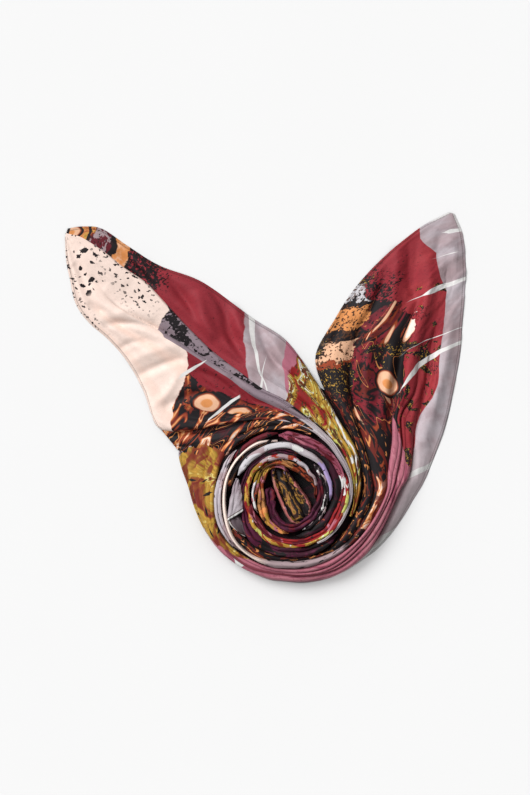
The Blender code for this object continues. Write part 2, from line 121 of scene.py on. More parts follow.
def gridOf(points, number, rows, hems=(False, False), start=(0.0, 0.0)):
    # a grid with its maps: distance over the cloth from start, fold line and row, and distance from the hems
    across, along = spaced(points, 1), spaced(points[:, points.shape[1] // 2], 0)
    cloth = np.stack(np.broadcast_arrays(across, along[:, None]), axis=-1) + start
    u = cloth[..., 0]
    away = np.full(u.shape, farFromHem)
    for hemmed, gap in zip(hems, (u - u[:, :1], u[:, -1:] - u)):
        away = np.minimum(away, gap) if hemmed else away
    lines = np.stack(np.broadcast_arrays(number[None, :], rows[:, None]), axis=-1)
    return dict(points=points, cloth=cloth, lines=lines, hem=np.stack([away, cloth[..., 1]], axis=-1))


def foldedSheet(spec, perRow, perFold, flat=.1, bulge=.12, hems=(False, False)):
    # spec has an edge for each row, and for each line keys of (row, share across, height, sharpness after it)
    last = len(spec["edges"]) - 1
    rows = np.linspace(0, last, perRow * last + 1)
    shares, heights, sharp = (np.array([keyed(rows, keys, n) for keys in spec["lines"]]).T for n in (1, 2, 3))
    share, height, number = foldAcross(shares, heights, np.clip(sharp, 0, 1), perFold, flat, bulge)
    return gridOf(betweenEdges(spec["edges"], rows, share, height), number, rows, hems)


def hemEnd(grid, order=1):
    # a hem along the first row (order 1) or the last (-1) in place of one at a side
    grid["hem"][..., 0] = np.minimum(spaced(grid["points"][::order], 0)[::order], farFromHem)
    grid["hem"][..., 1] = grid["cloth"][..., 0]


def crease(grid, marks):
    # soft troughs and ridges, listed: each has a depth (below 0 a trough), a width and its path
    place, height = grid["points"][..., :2] / mm, grid["points"][..., 2]
    lift, steps = np.zeros(height.shape), 23
    for depth, width, *path in marks:
        path = splineAt(path, np.linspace(0, len(path) - 1, steps + 1))
        nearest, share = np.full(lift.shape, np.inf), np.zeros(lift.shape)
        for k in range(steps):
            a, run = path[k], path[k + 1] - path[k]
            t = np.clip(((place - a) @ run) / (run @ run), 0, 1)
            away = np.linalg.norm(place - a - t[..., None] * run, axis=2)
            share = np.where(away < nearest, (k + t) / steps, share)
            nearest = np.minimum(away, nearest)
        lift += depth * np.exp(-(nearest / width)**2) * np.sqrt(np.clip(np.sin(math.pi * share), 0, 1))
    height[:] = np.maximum(height + lift * mm, leastHeight * mm)


def ruffle(grid, seed, across, along, height, envelope=1.0):
    # small uneven creases, each about so far across and along the cloth and so high, in millimetres
    rng = np.random.default_rng(seed)
    u, v = grid["cloth"][..., 0] / mm, grid["cloth"][..., 1] / mm
    field, waves = 0.0, 9
    for _ in range(waves):
        turnsAcross = rng.uniform(0.55, 1.6) / across
        turnsAlong = rng.uniform(-1.3, 1.3) / along
        sway = rng.uniform(0, .25) * across * np.sin(2 * math.pi * v / rng.uniform(1.5 * along, 3 * along)
                                                     + rng.uniform(0, 6.28))
        field = field + np.sin(2 * math.pi * ((u + sway) * turnsAcross + v * turnsAlong)
                               + rng.uniform(0, 6.28))
    field = np.tanh(field / math.sqrt(waves)) * height * mm * envelope
    normal = np.cross(np.gradient(grid["points"], axis=1), np.gradient(grid["points"], axis=0))
    normal /= np.maximum(np.linalg.norm(normal, axis=2, keepdims=True), 1e-12)
    grid["points"] += math.copysign(1, normal[..., 2].mean()) * normal * field[..., None]


def wrinkle(grid, spec, envelope=1.0):
    # a ruffle has a seed, its size across and along, its height, its first row and the rows it fades in over
    place = grid["lines"][..., 1]
    crease(grid, spec.get("creases", ()))
    for *sizes, start, fade in spec["ruffles"]:
        ruffle(grid, *sizes, ease((place - start) / fade) * envelope)


def placed(name, data):
    thing = bpy.data.objects.new(name, data)
    bpy.context.scene.collection.objects.link(thing)
    return thing


def lay(name, nodes, grids, material):
    # one piece of cloth from grids that may share an edge; it stands for the CAD nodes
    faces, start = [], 0
    for grid in grids:
        index = start + np.arange(grid["points"][..., 0].size).reshape(grid["points"].shape[:2])
        faces.append(np.stack([index[:-1, :-1], index[:-1, 1:], index[1:, 1:], index[1:, :-1]], axis=-1))
        start += index.size
    faces = np.concatenate([quads.reshape(-1, 4) for quads in faces])
    verts = np.concatenate([grid["points"].reshape(-1, 3) for grid in grids])
    verts[:, 2] = np.maximum(verts[:, 2], leastHeight * mm)
    mesh = bpy.data.meshes.new(name)
    mesh.from_pydata(verts.tolist(), [], faces.tolist())
    for key in ("cloth", "lines", "hem"):
        places = np.concatenate([grid[key].reshape(-1, 2) for grid in grids])[faces.reshape(-1)]
        mesh.uv_layers.new(name=key).data.foreach_set("uv", places.astype(np.float32).reshape(-1))
    shape = bmesh.new()
    shape.from_mesh(mesh)
    bmesh.ops.remove_doubles(shape, verts=shape.verts, dist=samePoint)
    shape.normal_update()
    if sum(face.normal.z * face.calc_area() for face in shape.faces) < 0:
        bmesh.ops.reverse_faces(shape, faces=shape.faces)
    shape.to_mesh(mesh)
    shape.free()
    mesh.shade_smooth()
    mesh.materials.append(material)
    piece = placed(name, mesh)
    shell = piece.modifiers.new("wall", "SOLIDIFY")
    shell.thickness = clothWall * mm
    shell.offset = -1
    shell.use_even_offset = False
    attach(piece, "root")
    if nodes:
        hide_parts(*nodes)
    print(name, "laid")
    return piece


def tint(red, green, blue):
    # screen colour to the linear one that a socket takes
    return (*(((c / 255 + .055) / 1.055)**2.4 for c in (red, green, blue)), 1.0)


inks = {name: tint(*colour) for name, colour in dict(
    blush=(254, 232, 220), apricot=(240, 188, 152), orange=(226, 148, 86), rust=(158, 68, 38),
    brick=(112, 38, 30), ink=(27, 21, 24), burgundy=(138, 36, 46), wine=(104, 28, 40), mauve=(172, 150, 154),
    ash=(194, 184, 190), pearl=(232, 230, 228), rose=(186, 110, 126), deepRose=(150, 74, 94),
    olive=(150, 118, 40), gold=(196, 152, 62), lime=(206, 208, 112), plum=(60, 20, 37),
    aubergine=(86, 28, 56), lilac=(182, 162, 212), stone=(206, 202, 206), red=(150, 30, 34),
    tan=(178, 122, 72), cocoa=(84, 50, 30),
).items()}
weave = dict(  # pitches in millimetres; relief and the places across the hem in metres
    pitch=.85, bump=.3, relief=.0004, hem=.0034, stitch=.0029, groove=.0037, stitchPitch=2.6,
)


def summing(operation, reflected=False):
    # a method that adds a math node for a thread and what it meets
    def method(self, *others):
        values = (*others, self) if reflected else (self, *others)
        return self.loom.add("ShaderNodeMath", dict(operation=operation), dict(enumerate(values)))
    return method


class Thread:
    # a socket that takes part in sums
    def __init__(self, loom, socket):
        self.loom, self.socket = loom, socket

    __add__, __radd__ = summing("ADD"), summing("ADD", True)
    __sub__, __rsub__ = summing("SUBTRACT"), summing("SUBTRACT", True)
    __mul__, __rmul__ = summing("MULTIPLY"), summing("MULTIPLY", True)
    __truediv__, __rtruediv__ = summing("DIVIDE"), summing("DIVIDE", True)
    __abs__, sin, cos = summing("ABSOLUTE"), summing("SINE"), summing("COSINE")
    wrap, least, most = summing("FLOORED_MODULO"), summing("MINIMUM"), summing("MAXIMUM")

    def rise(self, low, high):
        # 0 below low, 1 above high, soft between
        return self.loom.add("ShaderNodeMapRange", dict(interpolation_type="SMOOTHSTEP"),
                             {"Value": self, "From Min": low, "From Max": high})

    def fall(self, low, high):
        return 1 - self.rise(low, high)

    def near(self, place, full, none):
        # 1 within full of a place, 0 beyond none
        return abs(self - place).fall(full, none)


class Loom:
    # one material's nodes, and the marks that its print is made of; a print lies on the cloth map
    def __init__(self, name, onCloth=True):
        self.material = bpy.data.materials.new(name)
        self.material.use_nodes = True
        self.tree = self.material.node_tree
        if onCloth:
            self.uv, self.u, self.v = self.run("cloth")
            _, self.line, self.row = self.run("lines")
            _, self.away, self.along = self.run("hem")

    def put(self, socket, value):
        if isinstance(value, Thread):
            self.tree.links.new(value.socket, socket)
        else:
            socket.default_value = inks.get(value, value)

    def add(self, kind, settings, values, out=0):
        node = self.tree.nodes.new(kind)
        for key, value in settings.items():
            if key == "stops":
                self.setStops(node.color_ramp, *value)
            else:
                setattr(node, key, value)
        for key, value in values.items():
            self.put(node.inputs[key], value)
        if isinstance(out, tuple):
            return [Thread(self, node.outputs[name]) for name in out]
        return Thread(self, node.outputs[out])

    def setStops(self, ramp, stops, change):
        ramp.interpolation = change
        ramp.elements.remove(ramp.elements[-1])
        for n, (position, colour) in enumerate(stops.items()):
            element = ramp.elements.new(position) if n else ramp.elements[0]
            element.color = inks.get(colour, colour)

    def run(self, layer):
        # a map and its two coordinates
        uv = self.add("ShaderNodeUVMap", dict(uv_map=layer), {})
        return uv, *self.add("ShaderNodeSeparateXYZ", {}, {"Vector": uv}, ("X", "Y"))

    def vector(self, operation, *values):
        return self.add("ShaderNodeVectorMath", dict(operation=operation), dict(enumerate(values)))

    def turned(self, vector, angle):
        return self.add("ShaderNodeVectorRotate", dict(rotation_type="Z_AXIS"),
                        {"Vector": vector, "Angle": angle})

    def noise(self, scale, detail=3, roughness=.55, distortion=0, on=None):
        return self.add("ShaderNodeTexNoise", dict(noise_dimensions="2D"),
                        {"Vector": on or self.uv, "Scale": scale, "Detail": detail, "Roughness": roughness,
                         "Distortion": distortion})

    def cells(self, place, randomness, out):
        # scattered cells, and three chances that each one keeps
        *found, chance = self.add("ShaderNodeTexVoronoi", dict(voronoi_dimensions="2D", feature="F1"),
                                  {"Vector": place, "Scale": 1, "Randomness": randomness}, (out, "Color"))
        return *found, *self.add("ShaderNodeSeparateColor", {}, {"Color": chance}, ("Red", "Green", "Blue"))

    def guides(self, small=60):
        # fold line and row, then broad noise round 0, fine noise and both for edges that aren't straight
        wander, fine = self.noise(9) - .5, self.noise(small, 4, .6) - .5
        return self.line, self.row, wander, fine, wander * .6 + fine * .5

    def layered(self, colour, *layers):
        # a colour with others over it, each with the mask that shows it
        # a Mix node's inputs 6 and 7 and its output 2 are the ones for colours
        for mask, over in layers:
            colour = self.add("ShaderNodeMix", dict(data_type="RGBA"), {0: mask, 6: colour, 7: over}, 2)
        return colour

    def grey(self, level):
        return self.add("ShaderNodeCombineColor", {}, dict.fromkeys(("Red", "Green", "Blue"), level))

    def shade(self, colour, level):
        return self.add("ShaderNodeMix", dict(data_type="RGBA", blend_type="MULTIPLY"),
                        {0: 1, 6: colour, 7: self.grey(level)}, 2)

    def ramp(self, factor, stops, hard=False):
        # colours by position: hard ones meet at an edge
        change = "CONSTANT" if hard else "LINEAR"
        return self.add("ShaderNodeValToRGB", dict(stops=(stops, change)), {"Fac": factor})

    def bent(self, scale, roughness, reach):
        # the cloth map, shaken a little
        return self.vector("MULTIPLY_ADD", self.noise(scale, 3, roughness), reach, self.uv)

    def leaves(self, size, length, width, keep, shift, on=None, veined=False):
        # small pointed leaves, each turned its own way; size in millimetres
        moved = self.vector("MULTIPLY_ADD", on or self.uv, (1000 / size,) * 3, (shift, shift * 1.7, 0))
        place, spin, pick, big = self.cells(moved, .75, "Position")
        away = self.vector("SUBTRACT", moved, place)
        x, y = self.add("ShaderNodeSeparateXYZ", {}, {"Vector": away}, ("X", "Y"))
        turn = spin * 6.283
        along = x * turn.cos() + y * turn.sin()
        across = abs(y * turn.cos() - x * turn.sin())
        reach = big * .5 + .6
        longShare = along / (reach * length)
        body = reach * width * (1 - longShare * longShare) - across
        leaf = body.rise(0, .02) * pick.rise(1 - keep, 1.001 - keep)
        if veined:
            leaf = leaf * across.rise(.004, .016).most(along.rise(.5 * length, .6 * length))
        return leaf

    def marble(self, scale, stops, distortion, stretch=(1, 1), detail=4):
        moved = self.vector("MULTIPLY", self.uv, (*stretch, 1))
        return self.ramp(self.noise(scale, detail, .6, distortion, self.turned(moved, .6)), stops)

    def strokes(self, slant, scale, length, wave, gather):
        # tapering brush strokes that lean one way and gather here and there
        moved = self.vector("MULTIPLY", self.turned(self.uv, slant), (1, 1 / length, 1))
        return self.noise(scale, 1.7, .45, wave, moved) + (self.noise(scale * .3, 2, .5) - .5) * gather

    def medallions(self, size, keep, shift):
        # rounded drops with a darker heart and a dark rim: their mask and their colour
        moved = self.vector("MULTIPLY_ADD", self.uv, (1000 / size, 800 / size, 1), (shift, shift * .7, 0))
        away, pick, *_ = self.cells(moved, .7, "Distance")
        away = away + (self.noise(30, 2, .5) - .5) * .25
        heart = self.ramp(away, {0: "orange", .09: "orange", .13: "apricot", .24: "apricot", .27: "rust",
                                 .30: "ink", .36: "ink"})
        return away.fall(.34, .36) * pick.rise(1 - keep, 1.001 - keep), heart

    def stipple(self, scale, amount, patch=None):
        # fine uneven dots; patch is a mask that says where they gather
        level = self.noise(scale, 2, .75) * .6 + self.noise(scale * .33, 3, .7) * .4
        if patch:
            level = level + (patch - 1) * .30
        return level.rise(.60 - amount * .12, .625 - amount * .12)

    def flecks(self, scale, level, across=2.2, along=.7):
        # short streaks that lie along the cloth
        moved = self.vector("MULTIPLY", self.uv, (across, along, 1))
        return self.noise(scale, 3, .5, .6, moved).rise(level - .035, level + .035)

    def dye(self, values):
        for name, value in values.items():
            self.put(self.tree.nodes["Principled BSDF"].inputs[name], value)
        return self.material

    def finish(self, colour, *layers, hemmed=True):
        # the layers of the print, then weave, faint mottling, stitched hem with painted shade in its groove,
        # and a soft sheen
        colour = self.layered(colour, *layers)
        cloudy, grain, tone = self.noise(22, 4, .6), self.noise(900, 2, .6), self.noise(170, 3, .65)
        ply = perMetre / weave["pitch"]
        twill = ((self.u + self.v) * ply).sin() * .5 + ((self.u - self.v * .6) * ply).sin() * .25
        level = 1 + (cloudy - .5) * .16 + (grain - .5) * .22 + (tone - .5) * .20 + twill * .02
        height = twill * .5 + grain * .5
        if hemmed:
            inside = self.away.fall(weave["hem"], weave["hem"] + .0004)
            dashes = (self.along * (perMetre / weave["stitchPitch"])).sin().rise(-.35, .05)
            stitches = self.away.near(weave["stitch"], .0002, .00045) * dashes
            # painted shade in the groove just past the hem; the hem itself is a little darker
            level = level * (1 - self.away.near(weave["groove"], 0, .0007) * .45) * (1 - inside * .14)
            colour = self.layered(colour, (stitches * .5, "cocoa"))
            height = height + inside * 1.2 - stitches * 1.6
        bump = self.add("ShaderNodeBump", {}, {"Strength": weave["bump"], "Distance": weave["relief"],
                                               "Height": height}, "Normal")
        return self.dye({"Base Color": self.shade(colour, level), "Normal": bump,
                         "Roughness": .60 + (cloudy - .5) * .16 + grain * .06, "Specular IOR Level": .22,
                         "Sheen Weight": .03, "Sheen Roughness": .4})


# right end: panel, gathers, and the rolls that run on round the bottom and up the left side

rightEnd = dict(
    edges=[  # left hem x, y, right hem x, y, from the tip to the coil
        (228.5, 232.5, 236.5, 230.5), (191, 212, 247, 203), (146, 175, 250.5, 163), (111, 137, 249, 128),
        (86, 98, 246, 92), (62.5, 53, 243, 52), (74, 9, 235, 10), (88.2, -15.4, 227, -28),
        (107, -52, 214, -66), (117.5, -85.5, 200, -100), (120.5, -118, 190, -118),
    ],
    valleys=[  # share across of the six valleys between the folds, one row for each edge row
        (.22, .56, .64, .70, .77, .86), (.22, .57, .64, .70, .77, .86), (.22, .60, .66, .72, .79, .87),
        (.22, .62, .67, .73, .80, .88), (.23, .62, .67, .73, .80, .87), (.241, .607, .66, .72, .79, .86),
        (.211, .584, .64, .70, .77, .85), (.171, .51, .546, .58, .63, .73),
        (.133, .463, .54, .585, .63, .717), (.15, .42, .49, .56, .65, .735), (.19, .41, .465, .52, .58, .655),
    ],
    wraps=[  # angle, then radii of the inner edge, the six valleys and the hem, round the bottom
        (340, 83, 97, 108, 111.5, 115, 120, 125.5, 139), (320, 82, 93, 100.5, 104.5, 109, 114, 121.5, 126.5),
        (300, 82.5, 88, 96.5, 103, 107.5, 110.5, 117.6, 119), (280, 77, 84.5, 94, 100, 102, 104, 112.6, 114),
        (260, 77, 84.5, 93.5, 97.5, 99, 101.5, 110, 111.5),
    ],
    heights=[  # low and high in turn, from the inner edge to the hem
        (.8, 1.2, 1.3, 1.6, 1.7, 1.8, 1.8, 1.8, 1.8, 1.8, 1.7, 1.6, 1.5, 1.2, .8),
        (.8, 1.6, 1.8, 2.4, 2.5, 2.6, 2.6, 2.6, 2.5, 2.4, 2.2, 2, 1.8, 1.4, .8),
        (.8, 2, 2.2, 3.4, 3.5, 3.7, 3.7, 3.6, 3.4, 3.1, 2.8, 2.5, 2.1, 1.6, .8),
        (.8, 2.8, 2.3, 4.5, 4.3, 4.8, 4.7, 4.4, 3.9, 3.5, 3, 2.8, 2.1, 1.8, .8),
        (.8, 4, 2.5, 5.9, 4.6, 6.4, 5.4, 4.9, 4.2, 3.9, 3.3, 3, 2, 2, .8),
        (1, 6.5, 2.6, 8, 4.2, 8, 7.2, 6.9, 4.4, 5, 4.3, 3.9, 1.8, 2.4, .8),
        (3, 12, 4.5, 12, 4.5, 10.6, 9.8, 9.3, 5, 6.6, 5.7, 5.4, 2, 3, .8),
        (8, 18, 8, 17, 6, 13.8, 12.6, 12.6, 6.2, 9.4, 8.5, 8.3, 3, 4.2, .8),
        (12, 22, 12, 21, 9, 18, 16.2, 16.6, 8.6, 13, 12, 12.2, 4.3, 6.5, .8),
        (15, 25, 16, 24, 12.5, 22.5, 20.5, 21, 11.5, 18, 16.5, 16.5, 4, 9, .8),
        (17, 27, 19, 27, 16, 26, 23.5, 24.5, 14, 21.5, 19.5, 19.5, 4, 9.5, .8),
        (16, 27, 19, 28, 17, 26.5, 23, 24, 15, 22, 19, 19.5, 4, 8.5, .8),
        (16, 27, 19, 28.5, 17, 26, 21.5, 23.5, 16, 21.5, 18, 18.5, 5, 6, .8),
        (16, 27, 19, 29, 17, 25.5, 19, 23, 18, 21, 16.5, 17.5, 2.5, 2.8, .5),
        (16, 27.5, 19, 30, 17, 25, 20, 22, 19.5, 20.5, 19, 18, 2.5, 2.2, .5),
        (16, 28, 19, 31, 17, 24.5, 20.5, 21.5, 20, 20, 19, 17.5, 2.5, 2, .5),
    ],
    leans=(.55, .5, .45, .5, .5, .42, .3),  # where each crest lies between its valleys
    sharp=(.05, .05, .08, .1, .15, .25, .45, .65, .8, .9, .9, .9, .9, .9, .9, .9),
    strips=[  # first line of the folds that run on apart, then the angle, radii and heights of their lines
        (0, [(240, (76.5, 81, 88), (16, 28, 19)), (220, (76, 80, 86), (16, 28, 19)),
             (205, (77, 79, 84), (15, 24, 17))]),
        (2, [(240, (88, 90, 92.3), (19, 32, 18)), (220, (86.8, 89, 91), (20, 32.5, 19)),
             (200, (81, 83.3, 86.3), (20, 33, 19)), (180, (77.3, 80, 82.6), (20, 33.5, 19)),
             (160, (76, 78, 80.3), (20, 34, 19)), (140, (73.8, 75.8, 78), (20, 34, 19)),
             (120, (71, 73, 75), (20, 33.5, 20)), (102, (66, 67, 68), (17, 22, 17))]),
        (4, [
             (240, (94.5, 96.5, 98.5, 99.8, 101.2, 103, 104.5, 106, 109, 109.7, 110.5),
              (17, 24, 21, 21.6, 21, 20.5, 19.5, 17, 3, 2, .6)),
             (220, (97.3, 99, 100.6, 102, 103.5, 105, 106.4, 108, 111.2, 112, 113),
              (16, 24, 22, 22, 21, 20, 18.5, 15.5, 3.5, 2, .6)),
             (205, (98, 100, 102, 103.5, 105, 106.5, 108, 109.5, 112.5, 113.6, 115),
              (16, 25, 21.5, 21.8, 20.5, 19.5, 17.5, 14.5, 4, 2, .6)),
             (190, (93.6, 96.5, 99, 101.5, 104, 106, 108.5, 111, 115, 117, 119),
              (16, 26, 20.5, 21, 18.5, 18.6, 15.5, 13, 4.5, 2.4, .6)),
             (175, (91.8, 94.5, 97.5, 101, 105, 108, 112, 116, 121, 124, 127),
              (16, 25.5, 19.5, 20, 16.5, 17, 12.5, 11, 4.5, 2.6, .6)),
             (160, (92, 95, 99, 104, 110, 115, 122, 128, 136, 141, 146),
              (14, 22, 17, 18, 13.5, 14, 9.5, 8.5, 4, 2.6, .6)),
             (148, (92, 95, 99, 104, 110, 116, 124, 130, 138, 144, 150),
              (12, 17, 14, 15, 11, 11, 7.5, 6.5, 3, 2, .6))]),
    ],
    creases=[
        (-5.5, 6, (183, 208), (184, 175), (182, 142), (188, 122)),
        (6.5, 9, (166, 192), (163, 160), (158, 125), (150, 92)),
        (7.5, 9, (203, 178), (204, 134), (197, 106), (187, 70), (178, 30), (170, -8)),
        (-8, 4.4, (195, 128), (184, 103), (172, 67), (164, 27), (157, -8), (150, -44)),
        (-6.5, 4.4, (213, 92), (209, 60), (203, 20), (192, -20), (182, -60)),
        (5.5, 8, (233, 116), (226, 62), (217, 20), (207, -20), (196, -60)),
        (-6, 4, (121, 100), (116, 70), (109, 38), (107, 10), (113, -22)),
        (5, 6, (133, 92), (128, 56), (122, 10), (126, -30)),
        (-4.5, 4, (152, 76), (146, 44), (141, 10), (136, -26)), (4, 5, (160, 60), (154, 30), (148, 0)),
        (-3, 5, (96, 108), (90, 84), (78, 60)), (-3, 6, (226, 172), (230, 148), (226, 120)),
        (-2.6, 6, (220, 208), (215, 186), (216, 165)), (3.5, 8, (232, 205), (236, 176), (241, 150)),
        (3.5, 7, (140, 150), (128, 120), (112, 96)), (-2.5, 5, (152, 160), (140, 126), (128, 104)),
    ],
    ruffles=[(11, 34, 150, .7, .3, 2), (12, 9, 80, .28, .3, 2)],
)


def rightGrids(spec):
    edges, shares = list(spec["edges"]), list(spec["valleys"])
    for angle, inner, *valleys, outer in spec["wraps"]:
        edges.append((angle, inner, outer))
        shares.append([(v - inner) / (outer - inner) for v in valleys])
    perRow, perFold, flat, bulge, last = 16, 9, .25, .14, len(edges) - 1
    rows = np.linspace(0, last, perRow * last + 1)
    low = np.pad(splineAt(shares, rows), ((0, 0), (1, 1)), constant_values=((0, 0), (0, 1)))
    lines = np.empty((len(rows), 2 * low.shape[1] - 1))
    lines[:, ::2] = low
    lines[:, 1::2] = low[:, :-1] + np.diff(low) * spec["leans"]
    sharp = splineAt(spec["sharp"], rows)[:, None] * [.5, *[1] * 12, .15]  # softer at both hems
    share, height, number = foldAcross(lines, splineAt(spec["heights"], rows), sharp, perFold, flat, bulge)
    body = betweenEdges(edges, rows, share, height)
    grids = [gridOf(body, number, rows, (True, True))]
    lead = 2
    for first, table in spec["strips"]:
        # the body's last rows go before the strip's own for a smooth join
        angles, radii, tops = (list(column) for column in zip(*table))
        folds = len(radii[0]) - 1
        columns = slice(first * perFold, (first + folds) * perFold + 1)
        ends = body[-1 - lead * perRow::perRow, columns][:, ::perFold] / mm
        angles = [wrap[0] for wrap in spec["wraps"][-1 - lead:]] + angles
        radii = [*np.hypot(ends[..., 0] - coil["x"], ends[..., 1] - coil["y"]), *radii]
        tops = [*ends[..., 2], *tops]
        place = np.linspace(lead, len(angles) - 1, perRow * (len(angles) - 1 - lead) + 1)
        radius, height, _ = foldAcross(splineAt(radii, place), splineAt(tops, place),
                                       sharp[-1:, first:first + folds], perFold, flat, bulge)
        points = roundCoil(splineAt(angles, place)[:, None], radius, height)
        points[0] = body[-1, columns]
        hemmed = columns.stop == body.shape[1]
        grids.append(gridOf(points, number[columns], place - lead + last, (False, hemmed),
                            grids[0]["cloth"][-1, columns.start]))
    return grids


def rightPrint():
    loom = Loom("rightEndPrint")
    line, row, wander, fine, edgy = loom.guides()
    # red field with a little tone, darker where it nears the marbling
    cluster = loom.noise(24, 2, .5).rise(.50, .66) * (row + wander).rise(2.3, 3.2)
    beside = (row + wander * 1.6).rise(1.3, 2.8) * (line + wander * 4).fall(1.6, 4.6)
    bent = loom.bent(90, .65, (.014, .011, 0))
    leaf = loom.leaves(36, .42, .17, .62, 1, bent).most(loom.leaves(11, .40, .16, .16, 6, bent))
    leaf = leaf * (row + wander).rise(2.3, 2.7)
    field = loom.layered(
        tint(150, 42, 52), (loom.noise(16, 4, .6).rise(.3, .7), tint(166, 54, 60)),
        (loom.stipple(560, .6, cluster) * .9, "ink"), (loom.stipple(430, -.35) * .8, "ink"),
        (loom.stipple(700, .35) * .35, "wine"),
        (loom.stipple(380, 1.1, beside) * beside.rise(.05, .2), "ink"),
        (leaf * loom.stipple(420, 2.2), "ink"), (leaf * loom.stipple(640, .35), "gold"))
    # marbled panel, dark with rust, orange drops and red
    blocks = loom.layered(
        loom.ramp((row + edgy * 1.3 + (line - 1) * .16 - 2.9) / 4, {
            0: "stone", .10: "ink", .15: "orange", .31: "ink", .39: "apricot", .53: "rust", .58: "ink",
            .72: "brick", .77: "ink"}, True),
        (loom.stipple(240, .5), "cocoa"), (loom.stipple(150, .1), "ink"))
    flare = loom.strokes(.16, 44, 4, 1, .35)
    marbled = loom.layered(
        loom.marble(20, {0: "ink", .45: "ink", .47: "wine", .53: "burgundy", .56: "wine", .58: "ink",
                         .62: "ink", .64: "brick", .70: "wine"}, 1, (1, .6), 3),
        (loom.stipple(260, .3), "ink"), (flare.near(.50, .003, .009), "rust"),
        (flare.near(.43, .003, .009), "orange"), (flare.rise(.60, .625), "rust"),
        (flare.rise(.635, .65), "apricot"), (flare.rise(.73, .75), "blush"),
        ((line + edgy * 2.2).fall(1.75, 1.85), blocks))
    panel = (row + edgy * 1.6 - (line - 1) * .16).rise(2.95, 3.02)
    panel = panel * (line + wander * 5.5 + fine * 2.6 - (row - 3) * .5).fall(3.3, 3.4)
    # dark patches with gold flecks lower down, and drops
    dusk = (row + edgy).rise(4.4, 4.7) * loom.noise(26, 4, .65, .5).rise(.56, .58)
    drops, heart = loom.medallions(44, .45, 3.6)
    # rose folds
    roseEdge = (row + fine * .5 - (line - 4) * .22).rise(6.95, 7)
    # painted shade: wine where the cloth goes under a roll
    shadeUnderRoll = (line + wander * 1.5).near(9.2, .5, .9) * (row + wander).rise(12.6, 13.4)
    rose = loom.layered(
        "rose", (loom.flecks(34, .55, 2.2, .25), "deepRose"),
        (loom.flecks(70, .60, 2.2, .22) * .6, tint(204, 138, 148)),
        (loom.stipple(320, .3) * .5, "deepRose"), (shadeUnderRoll * .8, "wine"))
    # mauve border with slanting pale stripes that taper
    swing = ((row + edgy * .2 - .95) * 5.7).least(9.4 + row * .52).least(12.4)
    border = (line + edgy * .6 - swing).rise(-.05, .05)
    borderCloth = loom.layered(
        "mauve", (loom.noise(16, 4, .6).rise(.35, .7), "ash"),
        (loom.noise(36, 4, .65).rise(.50, .72) * .5, tint(150, 128, 134)),
        # painted light: paler mauve from row 7 on, for the lit lower border
        ((row + wander).rise(7, 9) * .75, tint(214, 198, 202)))
    slant = loom.v + loom.u * .78 + wander * .035
    reach = (line + wander * 3).rise(2.8, 11.4) * (1 - roseEdge * (1 - border))
    stripe = (abs(slant.wrap(.128) - .05) - reach * (1.5 - reach) * .0085).fall(-.0004, .0004)
    thin = (abs(slant.wrap(.083) - .02) - reach * .001).fall(-.0003, .0003)
    stripe = stripe.most(thin * loom.noise(12, 1, .5).rise(.52, .53)) * reach.rise(.02, .05)
    rolledHem = (row + wander * .8).fall(.5, .9) * (loom.away - fine * .002).fall(.003, .004)
    wedge = (abs(row - 16.2 + (line - 12.4) * .05) - (12.4 - line) * .11).fall(0, .02) * line.rise(9.8, 10)
    sliver = ((12.75 - row) * 1.1).least((row - 10.9) * 1.6).least(.8)
    sliver = (line + sliver * 2 - 13.9).rise(0, .06) * sliver.rise(0, .05)
    # the black fold, the peach fold and the olive side
    blackBand = (line + fine * .3).fall(1.95, 2.05) * (row + wander).rise(6, 6.2)
    blackCloth = loom.layered("ink", (loom.flecks(90, .58), "brick"), (loom.flecks(110, .635), "orange"))
    rustBand = line.rise(1.95, 2.1) * line.fall(3.95, 4.05) * (row + fine).rise(7.2, 7.4)
    blaze = (row + fine * 1.4).rise(9.1, 9.2) * (row + fine * 2).fall(11.3, 11.4) * line.rise(2.7, 2.75)
    blazing = loom.layered(
        loom.marble(80, {0: "ink", .36: "brick", .43: "rust", .48: "orange", .56: "apricot", .61: "blush",
                         .64: "apricot", .67: "orange", .72: "rust"}, 1.2, (1, .5), 3),
        (loom.strokes(.1, 70, 4, 1, .3).rise(.56, .60) * .85, "brick"))
    rustCloth = loom.layered(
        "ink", (loom.flecks(50, .58), "brick"), (loom.flecks(64, .64), "rust"),
        (loom.flecks(80, .70), "orange"), (blaze, blazing), ((row + fine * 1.2).rise(12, 12.4), "mauve"),
        (loom.flecks(95, .625) * row.rise(11.4, 11.9), "ink"), ((row + fine * .6).rise(15.3, 15.9), "blush"))
    oliveSide = line.rise(4.05, 4.2) * (row + edgy * 1.8 - (line - 5) * .22).rise(16.1, 16.15)
    corner = (row + edgy * .5 + (line - 14) * .25).rise(20.75, 20.8) * line.rise(11, 11.1)
    oliveCloth = loom.layered(
        loom.marble(24, {0: "brick", .36: tint(120, 42, 32), .42: tint(150, 84, 40), .46: "olive",
                         .52: "gold", .57: tint(170, 130, 48), .61: tint(206, 178, 92),
                         .64: tint(222, 206, 140), .67: "olive", .72: tint(120, 42, 32)}, .8),
        (loom.strokes(-.5, 46, 2.5, .8, .3).rise(.60, .68) * .9, tint(124, 44, 32)),
        (loom.leaves(22, .46, .10, .6, 7) * (row + wander).fall(20.6, 20.8), "ink"),
        (corner, loom.layered("mauve", (loom.stipple(300, .8), "ink"))))
    return loom.finish(
        field, (panel, marbled), (dusk * (line + wander).fall(11, 11.6), "ink"),
        (dusk * loom.stipple(420, .2), "gold"), (panel * line.rise(1.9, 2) * drops, heart),
        (roseEdge * (line + fine * .2).rise(3.9, 4.05), rose), (border, borderCloth), (stripe, "pearl"),
        (rolledHem * .85, "pearl"), (wedge, "pearl"), (sliver, "pearl"), (blackBand, blackCloth),
        (rustBand, rustCloth), (oliveSide, oliveCloth))


rightParts = rightGrids(rightEnd)
